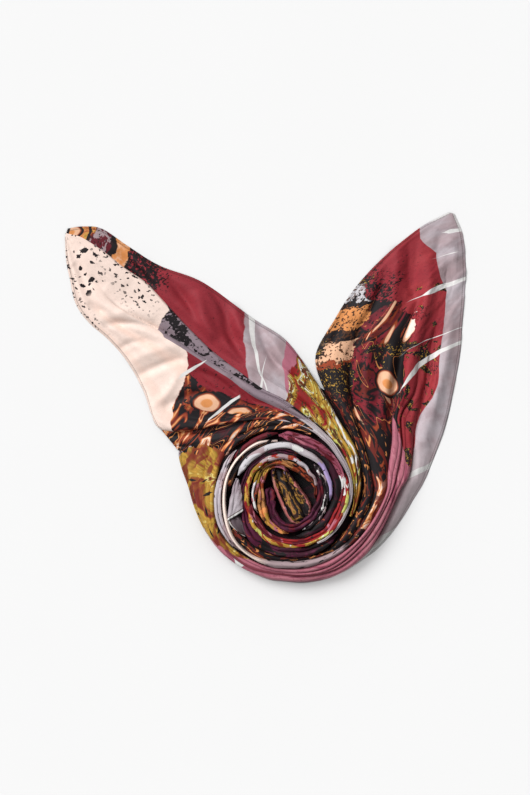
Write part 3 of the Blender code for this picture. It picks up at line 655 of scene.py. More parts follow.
# the ruffles fade out at the row where the parts join
joint, calm = rightParts[1]["lines"][0, 0, 1], .7
for grid in rightParts:
    wrinkle(grid, rightEnd, ease(abs(grid["lines"][..., 1] - joint) / calm))
rightPiece = lay("rightEndCloth", (
    "right_panel", "right_left_strip", "right_middle_strip", "right_pleats", "right_hem_band",
    "hem_band_turn", "outer_roll", "third_roll", "second_roll", "first_roll", "peach_turn", "pleat_turn",
    "left_side"), rightParts, rightPrint())


# left end: the fold on top, with its blush tip, mauve valley and rust fold over the coil

leftFront = dict(
    edges=[
        (-249.4, 206.9, -250.5, 199), (-228, 201, -249, 172), (-202, 184, -244, 147), (-175, 163, -237, 118),
        (-148, 144, -221, 95), (-121, 115, -196, 73), (-95, 87, -172, 45), (-66, 59, -152, 8),
        (-36, 36, -133, -37), (-5, 14, -88, -39), (20, 1, -45, -31), (40, -13, 0, -27), (57, -27, 35, -32),
        (72, -41, 57, -41), (84, -53, *byCoil(60, 79)), (93, -66, *byCoil(48, 77)), (25, 81, 75.5),
        (10, 80, 76), (355, 78.5, 74), (340, 76, 72), (325, 74.5, 70.8), (310, 73, 70), (300, 71, 69),
    ],
    lines=[  # row, share across, height, sharpness towards the next line
        [(0, 0, .8, .6), (4, 0, 2, .8), (8, 0, 6, .9), (12, 0, 17, .9), (16, 0, 23, .9), (22, 0, 24, .9)],
        [(0, .10, 1.6, 0), (2, .05, 4.6, .1), (4, .035, 7.2, .2), (6, .03, 9, .3), (8, .025, 12.5, .4),
         (10, .03, 17, .5), (12, .04, 22, .6), (14, .08, 29, .7), (16, .2, 32, .8), (22, .2, 33, .8)],
        [(0, .3, 1.5, 0), (2, .44, 3.9, 0), (3, .5, 4.2, .2), (4, .55, 3.4, .7), (5, .44, 3.4, .9),
         (6, .27, 5, .9), (7, .14, 7.5, .8), (8, .07, 10.5, .7), (10, .07, 15.5, .6), (14, .16, 27, .7),
         (16, .35, 30, .7), (22, .35, 31, .7)],
        [(0, .4, 1.6, 0), (3, .61, 5.6, .1), (4, .64, 7.6, .2), (5, .52, 9.4, .2), (6, .34, 11, .2),
         (7, .2, 13, .15), (8, .13, 15.5, .15), (10, .13, 19.5, .2), (12, .16, 24, .4), (14, .25, 30, .6),
         (16, .5, 32.5, .8), (22, .5, 33, .8)],
        [(0, .6, 1.2, 0), (3, .75, 2.8, 0), (4, .76, 3.4, 0), (5, .68, 4.6, 0), (6, .5, 7, 0),
         (7, .35, 9, .05), (8, .27, 11.5, .1), (10, .27, 15.5, .2), (12, .3, 20, .3), (14, .38, 27, .6),
         (16, .6, 31, .7), (22, .6, 32, .7)],
        [(0, .75, 1.5, 0), (3, .84, 3.4, 0), (4, .85, 4.2, 0), (5, .8, 6.5, 0), (6, .68, 9, 0),
         (7, .56, 11.5, .05), (8, .46, 14.5, .1), (10, .46, 19.5, .2), (12, .48, 24, .3), (14, .55, 30, .6),
         (16, .7, 32.5, .8), (22, .7, 33.5, .8)],
        [(0, .87, 1.1, 0), (3, .91, 1.8, 0), (5, .91, 2.8, 0), (7, .8, 5, .3), (8, .76, 8.5, .6),
         (9, .76, 13.5, .8), (10, .76, 18, .9), (12, .76, 23, .9), (14, .78, 29, .9), (16, .8, 31.5, .8),
         (22, .8, 32, .8)],
        [(0, .94, 1.3, 0), (3, .955, 2, 0), (5, .955, 2.4, .1), (7, .93, 5, .3), (8, .89, 10, .7),
         (9, .88, 17, .9), (10, .88, 22, .9), (12, .88, 28, .9), (14, .9, 32, .9), (16, .9, 33, .9),
         (22, .9, 33.5, .9)],
        [(0, 1, .8, 0), (7, 1, .8, 0), (8, 1, 1.2, 0), (9, 1, 7, 0), (10, 1, 13, 0), (12, 1, 19, 0),
         (14, 1, 25, 0), (16, 1, 27, 0), (22, 1, 27, 0)],
    ],
    creases=[
        (-4.4, 4.5, (-203, 92), (-168, 94), (-132, 84), (-108, 74)),
        (3.4, 6.5, (-206, 106), (-170, 109), (-138, 98)), (-3.8, 5, (-163, 27), (-132, 41), (-100, 51)),
        (2.8, 7, (-172, 44), (-142, 58), (-108, 66)), (-2.6, 6, (-240, 168), (-222, 150), (-200, 138)),
        (2.2, 9, (-232, 185), (-205, 165), (-172, 140)), (-4, 4.5, (-45, 30), (-12, -6), (22, -22)),
        (-3.4, 4.5, (-128, -12), (-95, 4), (-62, 6)), (-2.4, 5, (-222, 118), (-200, 108), (-180, 110)),
        (2.6, 5, (-140, -10), (-120, 10), (-108, 32)), (-3, 4, (-90, 36), (-64, 26), (-36, 6)),
        (2.4, 5, (-96, 24), (-66, 12), (-34, -6)), (-2.2, 4, (-186, 60), (-166, 70), (-146, 70)),
    ],
    ruffles=[(21, 42, 120, .4, .6, 2.5), (22, 10, 70, .4, 5.5, 2.5)],
    hemEnd=8.1,  # the row where the hem goes out of sight
)


def frontPrint():
    loom = Loom("leftFrontPrint")
    line, row, wander, fine, edgy = loom.guides()
    bent = loom.bent(190, .6, (.006, .005, 0))
    big, small, tiny = (loom.leaves(*sizes, bent) for sizes in (
        (16, .34, .20, .62, 2.6), (8, .34, .20, .55, 5), (5.2, .36, .26, .38, 8)))
    # painted shade: a warm apricot tint along two creases of the blush
    creaseShadeLine, creaseShadeRows = line + wander * .6, (row + wander).rise(3.2, 4.6)
    big = big * (row + wander * 2.2 - (line - 4) * .16).fall(2.8, 3.4)
    crowd = loom.noise(30, 2, .5).rise(.46, .52) * (row + wander * 3).fall(3.2, 4)
    border = (line + wander * 3).rise(5, 6.2).most((line + wander * 2).fall(1, 1.8))
    border = border * (row + wander * 2).fall(4.2, 4.8)
    sprigs = big.most(small * crowd).most(small.most(tiny) * border)
    # rust and black beyond the blush, red next to the ridge
    seam = (row + edgy * .30 - (line - 3) * .38).rise(6.58, 6.61)
    roll = loom.ramp(loom.strokes(1.2, 62, 3.4, .9, .4), {
        0: "brick", .28: "ink", .45: "ink", .48: "brick", .53: "rust", .57: "orange", .60: "apricot",
        .63: "orange", .67: "brick", .72: "rust"})
    topEdge = (line + edgy * 1.4).fall(4.25, 4.32)
    dark = loom.layered(
        loom.ramp(loom.strokes(.9, 52, 2.6, 1, .5), {
            0: "ink", .50: "ink", .54: "brick", .61: tint(134, 52, 32), .66: "rust", .70: "orange",
            .76: "apricot"}),
        (loom.stipple(240, .5), "ink"), loom.medallions(46, .45, 2.2),
        ((line + edgy * 1.2 + (row - 9) * .12).rise(5.35, 5.42), roll),
        (topEdge, "burgundy"), (topEdge * loom.stipple(380, 0), "ink"))
    # the grey valley, inked along its edge; its own grey is made darker as painted shade under the ridge
    valley = (line + fine * .12 - (row - 8).most(0) * .42).fall(2.93, 2.97)
    valley = valley * (row + edgy * .35 - line * .35).rise(4.75, 4.78)
    inked = loom.noise(40, 3, .6).rise(.47, .60) * (line + wander).fall(1.8, 2.2)
    greys = loom.layered(tint(160, 142, 148), (loom.noise(18, 4, .6), tint(132, 116, 128)),
                         (loom.stipple(330, 2.2, inked), "ink"))
    # pale streaks where the two prints meet
    ray = (loom.v + (loom.u * 30).sin() * .006 + wander * .02).wrap(.071) - .03
    reach = (line + wander * 1.2).near(4.4, .5, 2.4)
    leaning = row - (line - 3) * .38
    streak = (abs(ray) - reach * .0023).fall(-.0003, .0003) * leaning.rise(6.4, 6.5) * leaning.fall(8.4, 8.5)
    # the folded end over the coil turns to stone grey
    stones = loom.layered("stone", (loom.noise(40, 3, .6), "mauve"))
    return loom.finish(
        "blush", (loom.noise(12, 2, .5), tint(250, 222, 209)),
        (creaseShadeLine.near(4.3, 0, .8) * creaseShadeRows * .55, tint(250, 212, 194)),
        (creaseShadeLine.near(6.6, 0, .8) * creaseShadeRows * .35, tint(250, 212, 194)), (sprigs, "ink"), (seam, dark),
        (valley, greys), (streak * reach.rise(.01, .04), "pearl"),
        ((row + edgy * .9 + (line - 4) * .12).rise(11.6, 11.75), stones))


frontGrid = foldedSheet(leftFront, perRow=14, perFold=9, bulge=.10, hems=(False, True))
frontGrid["hem"][..., 0][frontGrid["lines"][..., 1] > leftFront["hemEnd"]] = farFromHem
wrinkle(frontGrid, leftFront)
frontPiece = lay("leftFrontCloth", ("left_front_panel", "front_fold_turn"), [frontGrid],
                 frontPrint())


# left end: the lower fold that goes over the coil's top left

flameFold = dict(
    edges=[
        (-131, -38, -108, -66), (-95, -28, -84, -76), (-62, -22, *byCoil(154, 94.5)),
        (-36, -18, *byCoil(140, 88.5)), (-8, -16, *byCoil(122, 84.5)), (18, -17, *byCoil(104, 81)),
        (*byCoil(82, 93), *byCoil(86, 80)), (70, 86, 77.5),
    ],
    lines=[
        [(0, 0, .8, .2), (1, 0, 3, .3), (2, 0, 8, .4), (3, 0, 14, .5), (5, 0, 19, .6), (7, 0, 24, .7)],
        [(0, .15, 2.6, .2), (1, .15, 8, .3), (2, .16, 14.5, .4), (3, .16, 19, .5), (5, .18, 23, .6),
         (7, .2, 28, .7)],
        [(0, .36, 1.6, .2), (1, .36, 6, .3), (2, .36, 12, .4), (3, .36, 17, .6), (5, .36, 22, .7),
         (7, .4, 27, .7)],
        [(0, .55, 3, .2), (1, .55, 9, .3), (2, .54, 16, .4), (3, .54, 22, .5), (5, .56, 27, .6),
         (7, .6, 31, .7)],
        [(0, .72, 1.8, .2), (1, .72, 6.5, .3), (2, .72, 12.5, .4), (3, .72, 19, .6), (5, .74, 25, .7),
         (7, .76, 30, .7)],
        [(0, .86, 2.4, .2), (1, .86, 8, .3), (2, .87, 15, .5), (3, .88, 23, .7), (5, .9, 29, .8),
         (7, .9, 32, .8)],
        [(0, 1, .8, 0), (1, 1, 2.5, 0), (2, 1, 8, 0), (3, 1, 15, 0), (5, 1, 21, 0), (7, 1, 26, 0)],
    ],
    ruffles=[(31, 9, 60, .45, -1, 1)],
)


def flamePrint():
    loom = Loom("flameFoldPrint")
    colour = loom.ramp(loom.strokes(-.75, 62, 3, .9, .6), {
        0: "wine", .26: "ink", .48: "ink", .50: "brick", .53: "rust", .56: "orange", .60: "apricot",
        .66: "blush", .72: "apricot", .76: "rust"})
    thin = loom.strokes(-.6, 50, 3.4, .8, .2)
    return loom.finish(colour, *((thin.near(level, .005, .012), name) for level, name in (
        (.60, "orange"), (.52, "rust"), (.44, "orange"), (.36, "brick"))))


flameGrid = foldedSheet(flameFold, perRow=16, perFold=9)
hemEnd(flameGrid)
wrinkle(flameGrid, flameFold)
flamePiece = lay("flameFoldCloth", ("left_flame_fold",), [flameGrid], flamePrint())


# left end: the layer behind, burgundy down to the coil and round its right side

leftBack = dict(
    edges=[
        (-247, 212.5, -249.5, 205), (-228, 215, -236, 186), (-204, 212, -218, 170), (-171, 190, -193, 147),
        (-132, 166, -163, 122), (-78, 145, -128, 93), (-20, 103, -78, 43), (26, 72, -20, 8),
        (60, 27, *byCoil(84, 100)), (*byCoil(66, 124), *byCoil(64, 91)), (50, 107, 86), (35, 101, 83),
        (20, 95, 80), (5, 89, 80), (350, 85, 80), (340, 83, 79),
    ],
    lines=[
        [(0, 0, .8, 0), (6, 0, .8, .1), (7, 0, 1.4, .3), (8, 0, 4, .5), (9, 0, 10, .8), (10, 0, 15, .9),
         (12, 0, 17, .9), (15, 0, 18, .9)],
        [(0, .2, 1.2, 0), (2, .2, 2.6, 0), (4, .2, 4.4, 0), (5, .2, 6.4, 0), (6, .2, 8, .05),
         (7, .19, 11.5, .3), (8, .18, 16, .5), (9, .2, 20, .8), (10, .2, 23.5, .9), (12, .2, 26, .9),
         (15, .2, 27, .9)],
        [(0, .42, 1.1, 0), (2, .42, 2.2, 0), (4, .42, 3.2, 0), (5, .40, 4.4, 0), (6, .38, 5.4, .1),
         (7, .37, 7.5, .4), (8, .38, 12, .6), (9, .4, 17, .8), (10, .4, 20, .9), (12, .4, 23, .9),
         (15, .4, 24, .9)],
        [(0, .6, 1.2, 0), (2, .6, 2.8, 0), (4, .58, 4.6, 0), (5, .56, 6.6, 0), (6, .54, 9, .1),
         (7, .53, 13.5, .3), (8, .53, 18, .6), (9, .53, 22, .8), (10, .53, 25, .9), (12, .53, 27.5, .9),
         (15, .53, 28, .9)],
        [(0, .75, 1, 0), (2, .75, 1.8, 0), (4, .74, 2.6, 0), (5, .72, 3.6, 0), (6, .70, 5, .1),
         (7, .69, 9, .4), (8, .69, 13.5, .6), (9, .69, 18, .8), (10, .69, 21, .9), (12, .69, 24, .9),
         (15, .69, 25, .9)],
        [(0, .88, 1, 0), (2, .88, 1.6, 0), (4, .88, 2.2, 0), (5, .87, 3.2, 0), (6, .86, 5.6, .1),
         (7, .85, 11, .4), (8, .84, 17, .6), (9, .84, 22, .8), (10, .84, 26, .9), (12, .84, 28.5, .9),
         (15, .84, 29, .9)],
        [(0, 1, .7, 0), (4, 1, .8, 0), (5, 1, 1.2, 0), (6, 1, 2.6, 0), (7, 1, 6, 0), (8, 1, 11, 0),
         (9, 1, 16, 0), (10, 1, 19, 0), (12, 1, 22, 0), (15, 1, 23, 0)],
    ],
    creases=[
        (-8, 6, (-64, 142), (-50, 104), (-40, 70), (-22, 42)), (6.5, 8, (-88, 134), (-76, 102), (-62, 74)),
        (-4.5, 5, (-122, 152), (-100, 122), (-84, 96)), (5, 6, (-40, 122), (-30, 88), (-16, 58)),
        (-6, 5, (-12, 98), (2, 62), (18, 36)), (4, 6, (8, 78), (20, 52), (32, 30)),
        (-3.2, 5, (-185, 185), (-160, 160), (-140, 138)), (3.4, 7, (-168, 178), (-142, 152), (-112, 126)),
        (3, 5, (-52, 80), (-34, 52), (-14, 28)),
    ],
    ruffles=[(41, 40, 110, .8, 0, 2), (42, 8, 60, .4, 5, 3)],
)


def backPrint():
    loom = Loom("leftBackPrint")
    line, row, wander, fine, edgy = loom.guides(50)
    # the tip is marbled, then wine with pale flecks, then marbled again
    tip = loom.marble(30, {0: "ink", .42: "ink", .46: "brick", .51: "rust", .57: "orange", .61: "gold",
                           .64: "ink"}, 1.6)
    wine = loom.layered("wine", (loom.flecks(90, .55, 1, 1.6), "mauve"), (loom.stipple(300, .3), "ink"))
    burgundy = loom.layered(
        tint(160, 48, 57), (loom.noise(14, 3, .6), tint(144, 46, 58)),
        (loom.stipple(300, 1.5, (row + wander * 1.4).fall(3.7, 4.7)), "ink"),
        (loom.stipple(430, -.35) * .8, "ink"), (loom.stipple(700, .35) * .35, "wine"))
    jagged = row + edgy * .9
    glowing = loom.layered("orange", (loom.noise(60, 3, .6).rise(.42, .62), "apricot"))
    # pale stripes across the grey, narrowing inwards
    greys = loom.layered("mauve", (loom.noise(16, 4, .6).rise(.35, .7), "ash"))
    slant = row + edgy * .25 - line * .19
    greyBand = slant.rise(5.88, 5.91)
    thin = (abs(row - line * .24 + wander * .05 - 6.05) - (6 - line) * .013).fall(-.004, .004)
    second = (abs(row - line * .10 + wander * .06 - 6.62) - (line - 2) * .008).fall(-.004, .004)
    leafy = loom.layered(
        loom.marble(34, {0: "brick", .38: "red", .43: "rust", .47: "olive", .53: "gold", .58: "lime",
                         .61: "pearl", .64: "olive", .72: "brick"}, 1.6, (1.2, .7), 3),
        (loom.leaves(22, .46, .13, .35, 3, veined=True), "pearl"), (loom.stipple(260, .4), "cocoa"))
    late = loom.layered("cocoa", *((loom.flecks(scale, level, 1.8, .5), name) for scale, level, name in (
        (52, .47, "gold"), (84, .575, "lime"), (76, .62, "pearl"), (44, .605, "red"))))
    return loom.finish(
        tip, loom.medallions(33, .5, .4), ((row + edgy * 1.2 + (line - 3) * .10).rise(1.45, 1.5), wine),
        (jagged.rise(2.45, 2.5), "ink"), (jagged.fall(1.52, 1.56) * jagged.rise(1.36, 1.40), "ink"),
        (jagged.rise(2.62, 2.66) * jagged.fall(3.06, 3.10), glowing), (row.fall(.16, .22), "ink"),
        ((row + edgy * .7 - (line - 3) * .07).rise(3.25, 3.3), burgundy), (greyBand, greys),
        (thin.most(second) * greyBand, "pearl"), ((slant + line * .05).rise(7, 7.02), tint(186, 112, 130)),
        ((row + edgy * .6 - line * .06).rise(7.34, 7.37), leafy), ((row + wander).rise(9.2, 9.4), late))


backGrid = foldedSheet(leftBack, perRow=14, perFold=8, bulge=.10, hems=(True, False))
wrinkle(backGrid, leftBack)
backPiece = lay("leftBackCloth", ("left_back_panel", "back_fold_turn"), [backGrid],
                backPrint())


# the coil: one gathered fold for each turn that shows, winding inwards clockwise

coilSize = dict(
    step=1.5, domeColumns=15, legColumns=4, legDrop=15, legSpread=.10, capShare=.5, mostCap=5,
    endLength=10, endDrop=9, endWidth=.25, spare=.7, wobble=.5, outerShare=.6, lift=1.2, stagger=.6,
    split=.16, swayPace=(.06, .28), liftPace=(.04, .20), splitPace=(.03, .12), staggerPace=(.03, .10),
    ruffles=[(100, 3.5, 45, .25), (200, 9, 22, .25)],  # the first number is added to the turn's seed
)
apart = 30  # degrees between two radii
turnColumns = ("name", "node", "slot", "start", "sweep", "crest", "lean", "tilt", "folds", "inner", "outer",
               "colours", "marks")
turns = [  # colours by degrees from the start; marks have an ink, a scale and a level
    ("upperPleat", "upper_pleat_turn", "ink_cloth", 180, 70, (30, 29), .45, 0, 1, (73.3, 71, 69, 64),
     (76.8, 75.2, 71.5, 66.2), {0: "ink"}, [("brick", 90, .58), ("orange", 120, .66)]),
    ("mauveWrap", "mauve_wrap_turn", "mauve_cloth", 230, 90, (28, 31), .4, -.1, 2, (91.8, 88, 83, 83.2),
     (94.5, 95, 89.5, 86.5), {0: "mauve", 30: "ash", 58: "mauve", 72: "ink", 80: "mauve"},
     [("ash", 50, .52), ("ink", 110, .66)]),
    ("burgundyTurn", "burgundy_turn", "burgundy_cloth", 150, 50, (31, 31), .45, 0, 1, (79.5, 76.5, 72),
     (82.2, 81.2, 78), {0: "wine", 50: "burgundy"}, [("ink", 100, .58)]),
    ("goldTurn", "gold_turn", "olive_cloth", 20, 370, (35, 33), .4, -.1, 1,
     (72.5, 70, 67.6, 64.5, 61, 58, 51, 50, 49, 46, 41.2, 36, 35, 35),
     (75.7, 73, 70.3, 67, 65.8, 61.5, 55.8, 54.2, 54, 51.5, 45.5, 39, 37.2, 37.2),
     {0: "red", 16: "lime", 40: "red", 58: "lime", 80: "gold", 140: "lime", 156: "gold", 228: "olive",
      250: "mauve", 296: "ash", 330: "mauve"},
     [("red", 80, .56), ("rust", 110, .58), ("pearl", 120, .66), ("cocoa", 150, .68)]),
    ("redTurn", "red_turn", "red_cloth", 100, 270, (31, 34), .55, .05, 2,
     (67, 63.2, 65, 66.2, 61.2, 61, 57.3, 55.3, 48.5, 47.3),
     (78, 74, 73, 71.3, 69, 66.8, 62.2, 60.2, 55.5, 49.7),
     {0: "deepRose", 80: "pearl", 102: "red", 200: "wine", 270: "red"},
     [("wine", 80, .54), ("rose", 60, .62), ("ink", 120, .66), ("pearl", 130, .76)]),
    ("plumTurn", "plum_turn", "plum_cloth", 320, 250, (31, 32), .5, .1, 2,
     (75.5, 67.7, 66.3, 62.5, 57, 55.3, 54.5, 52.2, 46.2, 44),
     (80.5, 80, 76.2, 75, 62, 59.8, 59.2, 58.3, 52.2, 47), {0: "plum", 60: "aubergine", 130: "plum"},
     [("aubergine", 220, .56), ("ink", 60, .55), ("rust", 120, .7)]),
    ("nightTurn", "night_turn", "ink_cloth", 100, 180, (30, 31), .5, 0, 1,
     (65, 59.7, 58.2, 55.5, 53, 50.5, 51.2), (66.8, 62.5, 64.5, 65.5, 60.5, 60, 56.5), {0: "ink"},
     [("plum", 70, .52), ("rust", 110, .68)]),
    ("lilacTurn", "lilac_turn", "lilac_cloth", 160, 170, (36, 35), .45, -.15, 1,
     (64, 60, 58.5, 51.5, 51.5, 50.5, 50), (70, 67.5, 64.5, 58.5, 56.2, 53.6, 51.6),
     {0: "stone", 70: "ash", 76: "pearl", 84: "ash", 114: "lilac"}, [("mauve", 50, .58), ("ink", 120, .69)]),
    ("streakedTurn", "streaked_turn", "ink_cloth", 50, 120, (31, 31), .5, -.1, 2,
     (44.8, 43.4, 43.3, 44.6, 46.6), (50.2, 49.8, 49, 49.6, 49.6), {0: "ink"},
     [("pearl", 95, .62), ("mauve", 130, .6)]),
    ("innerPlum", "inner_plum_turn", "plum_cloth", 30, 230, (33, 26), .45, -.1, 2,
     (38.2, 36.5, 34.5, 36.5, 37.8, 29, 19.5, 18, 20), (43, 42.5, 43, 44.5, 46.8, 41, 31.5, 29.8, 28),
     {0: "plum", 60: "aubergine"}, [("plum", 240, .54), ("wine", 70, .58)]),
    ("tanTurn", "tan_turn", "rust_cloth", 270, 180, (33, 28), .45, .1, 2,
     (47.3, 41.2, 32.8, 31.2, 35.2, 37.8, 24), (50, 46.5, 42.8, 37.5, 40, 42.8, 31),
     {0: "orange", 60: "tan", 100: "rust", 150: "rose"},
     [("gold", 60, .55), ("cocoa", 160, .6), ("rose", 70, .62)]),
    ("oliveTurn", "olive_turn", "olive_cloth", 200, 210, (32, 31), .5, 0, 2,
     (43.5, 39, 42.8, 39.8, 30, 28, 31, 32.5), (46, 45.2, 47.2, 45.2, 38, 34.5, 34.2, 34.5),
     {0: "rose", 40: "olive", 90: "tan", 118: "rust", 150: "brick", 210: "wine"},
     [("cocoa", 90, .52), ("rust", 80, .58), ("ink", 130, .6)]),
    ("paleRing", None, "stone_cloth", 212, 64, (33, 33), .5, 0, 1, (44.2, 43.6, 43.4), (45.6, 45.4, 45),
     {0: "pearl"}, [("ash", 60, .58)]),
    ("darkRing", None, "ink_cloth", 178, 76, (30, 31), .5, 0, 1, (71.4, 70, 68.2), (74, 72.4, 70.4),
     {0: "ink"}, [("cocoa", 80, .58)]),
]


def waver(run, rng, pace):
    # a slow uneven sway along the run, about -1 to 1
    return sum(np.sin(run * rng.uniform(*pace) + rng.uniform(0, 6.28)) for _ in range(4)) / 2


def turnGrid(turn, size, seed):
    sweep, folds, lean = turn["sweep"], turn["folds"], turn["lean"]
    count = round(sweep / size["step"])
    run = np.linspace(0, sweep, count + 1)[:, None]
    rng = np.random.default_rng(seed)
    inner, outer = (splineAt(turn[key], run / apart) for key in ("inner", "outer"))
    sway, lift = waver(run, rng, size["swayPace"]), waver(run, rng, size["liftPace"])
    inner = inner + size["wobble"] * sway - size["spare"]
    outer = outer + size["wobble"] * sway * size["outerShare"] + size["spare"]
    ends = ease(np.minimum(run, sweep - run) / size["endLength"])
    middle = inner + (outer - inner) * lean
    narrow = size["endWidth"] + (1 - size["endWidth"]) * ends
    width = (outer - inner) * narrow
    inner = middle + (inner - middle) * narrow
    crest = np.linspace(*turn["crest"], count + 1)[:, None]
    crest = crest + size["lift"] * lift - (1 - ends) * size["endDrop"]
    cap = np.minimum(size["capShare"] * width / folds**.7, size["mostCap"])
    splits = [(f + size["split"] * waver(run, rng, size["splitPace"])) / folds for f in range(1, folds)]
    splits = [0 * run, *splits, 0 * run + 1]
    shares, drops, numbers = [], [], []
    for f, (left, right) in enumerate(zip(splits, splits[1:])):
        # rounded layers side by side, at uneven heights
        theta = np.linspace(-1, 1, size["domeColumns"])[min(f, 1):]
        arc, dome = np.sin(.5 * math.pi * theta), np.cos(.5 * math.pi * theta)
        top = left + (right - left) * lean
        step = rng.uniform(-.5, .5) + .5 * waver(run, rng, size["staggerPace"])
        step = step * size["stagger"] * (folds > 1)
        shares.append(top + np.where(theta < 0, top - left, right - top) * arc)
        drops.append(1 - dome + step * dome)
        numbers.append(f + .5 + .5 * theta)
    # steep legs at both sides reach down out of sight
    more, spread = size["legColumns"], size["legSpread"]
    leg = np.linspace(0, 1, more + 1)[1:] + 0 * run
    share = np.hstack([spread * leg[:, ::-1], *shares, 1 - spread * leg])
    below = np.hstack([leg[:, ::-1], 0 * np.hstack(drops), leg])
    drop = np.pad(np.hstack(drops), ((0, 0), (more, more)), mode="edge")
    height = crest - cap * drop + turn["tilt"] * width * (share - .5) - below * size["legDrop"]
    number = np.pad(np.concatenate(numbers), more, constant_values=(0, folds))
    grid = gridOf(roundCoil(turn["start"] - run, inner + width * share, height), number, run[:, 0] / apart)
    for extra, *sizes in size["ruffles"]:
        ruffle(grid, seed + extra, *sizes)
    return grid


def turnPrint(turn):
    loom = Loom(turn["name"] + "Print")
    along = (loom.row * apart + (loom.noise(60, 3, .6) - .5) * 26) / turn["sweep"]
    stops = {at / turn["sweep"]: name for at, name in turn["colours"].items()}
    marks = [(loom.flecks(scale, level + .0125, 1.5, .75), name) for name, scale, level in turn["marks"]]
    return loom.finish(loom.ramp(along, stops, True), *marks, hemmed=False)


coilPieces = []
for seed, values in enumerate(turns, 1):
    turn = dict(zip(turnColumns, values))
    coilPieces.append(lay(turn["name"] + "Cloth", turn["node"] and (turn["node"],),
                          [turnGrid(turn, coilSize, seed)], turnPrint(turn)))


# a hemmed corner of the cloth that pokes out on the coil's left, folded on itself, and the fold under it

hemCorner = dict(
    edges=[
        (-37, -99, -34, -98.5), (-40, -108, -31.5, -105), (-43, -120, -29.5, -115), (-45, -132, -28.5, -125),
        (-46.5, -142, -28, -133), (-47.3, -151, -27.5, -139),
    ],
    lines=[
        [(0, 0, 28, .6), (2, 0, 32, .6), (5, 0, 31, .6)],
        [(0, .2, 30, .5), (2, .12, 34.6, .5), (5, .15, 34, .5)],
        [(0, .4, 29, .2), (2, .34, 33, .3), (5, .4, 33.2, .3)],
        [(0, .6, 29.5, .2), (2, .58, 33.6, .3), (5, .6, 33.4, .3)],
        [(0, 1, 27, 0), (2, 1, 31, 0), (5, 1, 32, 0)],
    ],
    ruffles=[(61, 8, 18, .5, -1, 1)],
)
hemUnder = dict(
    edges=[
        (-46.8, -150, -36, -143), (-43.5, -156, -31, -147), (-37.5, -162, -27.5, -153.5),
        (-31, -168, -25, -161.5), (-25.5, -171.5, -24, -170),
    ],
    lines=[
        [(0, 0, 30, .4), (4, 0, 27, .4)],
        [(0, .2, 31.5, .4), (2, .16, 32.5, .4), (4, .2, 28, .4)],
        [(0, .6, 29, .2), (2, .6, 29.5, .2), (4, .6, 26, .2)],
        [(0, .85, 29, .2), (2, .85, 30, .2), (4, .85, 26, .2)],
        [(0, 1, 26, 0), (4, 1, 24, 0)],
    ],
    ruffles=[(62, 8, 18, .5, -1, 1)],
)
underRow = 10  # added to the rows of the fold below, to tell it from the one on top


def cornerPrint():
    loom = Loom("hemCornerPrint")
    return loom.finish(
        "ash", (loom.noise(30, 3, .6).rise(.3, .6), tint(158, 142, 150)),
        # painted shade: the fold below is a darker grey than the corner over it
        (loom.row.rise(underRow - 2, underRow - 1), tint(98, 84, 90)), (loom.away.fall(.0026, .003), "pearl"),
        (loom.away.near(.0034, 0, .0009), "cocoa"), (loom.stipple(300, -.4), "ink"))


cornerGrids = [foldedSheet(spec, perRow=8, perFold=6, flat=0, hems=(True, False))
               for spec in (hemCorner, hemUnder)]
hemEnd(cornerGrids[0], -1)
cornerGrids[1]["lines"][..., 1] += underRow
for grid, spec in zip(cornerGrids, (hemCorner, hemUnder)):
    wrinkle(grid, spec)
cornerPiece = lay("hemCornerCloth", ("hem_corner",), cornerGrids, cornerPrint())


# the tuft that stands up in the coil's middle

tuft = dict(
    edges=[
        (5, -80, 25, -88), (6, -91, 33, -96), (10, -107, 41, -108), (16, -124, 48, -118),
        (23, -140, 55, -128), (32, -154, 57, -138), (44, -155, 54, -147),
    ],
    lines=[
        [(0, 0, 14, .5), (3, 0, 18, .5), (6, 0, 15, .5)],
        [(0, .10, 25, .8), (1, .08, 28, .9), (3, .07, 31, .9), (5, .10, 32, .9), (6, .14, 27, .7)],
        [(0, .24, 19, .7), (1, .22, 19, .7), (3, .17, 23, .7), (5, .22, 27, .8), (6, .3, 24, .7)],
        [(0, .45, 20, .4), (1, .46, 24, .4), (3, .42, 29, .4), (5, .42, 31, .5), (6, .45, 26, .6)],
        [(0, .62, 16, .4), (1, .66, 18, .4), (3, .68, 24, .4), (5, .65, 27, .5), (6, .62, 24, .6)],
        [(0, .84, 22, .8), (1, .86, 27, .9), (3, .90, 31, .9), (5, .88, 32, .9), (6, .84, 27, .7)],
        [(0, 1, 13, 0), (3, 1, 17, 0), (6, 1, 15, 0)],
    ],
    ruffles=[(51, 7, 14, .8, -1, 1), (52, 3, 12, .3, -1, 1)],
)


def tuftPrint():
    loom = Loom("tuftPrint")
    wander = loom.noise(60, 3, .6) - .5
    # dark marbled print, also darkened overall as painted shade inside the tuft
    brown = loom.layered(
        loom.marble(46, {0: "ink", .42: "ink", .46: "cocoa", .51: "olive", .55: "tan", .60: "cocoa",
                         .66: "ink"}, 1.6, (1, .6), 3),
        (loom.stipple(300, .3), "ink"), (loom.leaves(12, .4, .2, .25, 0, veined=True), "lilac"))
    pink = loom.layered(tint(186, 106, 104), (loom.flecks(90, .575), tint(214, 150, 132)))
    pink = loom.layered("plum", ((loom.row + wander).rise(1.4, 1.6), pink))
    line = loom.line + wander
    return loom.finish(brown, (line.fall(1.05, 1.15).most(line.rise(4.95, 5.05)), pink))


tuftGrid = foldedSheet(tuft, perRow=12, perFold=7)
wrinkle(tuftGrid, tuft)
tuftPiece = lay("tuftCloth", ("inner_tuft",), [tuftGrid], tuftPrint())


# dark layers under it all, only seen down between the turns

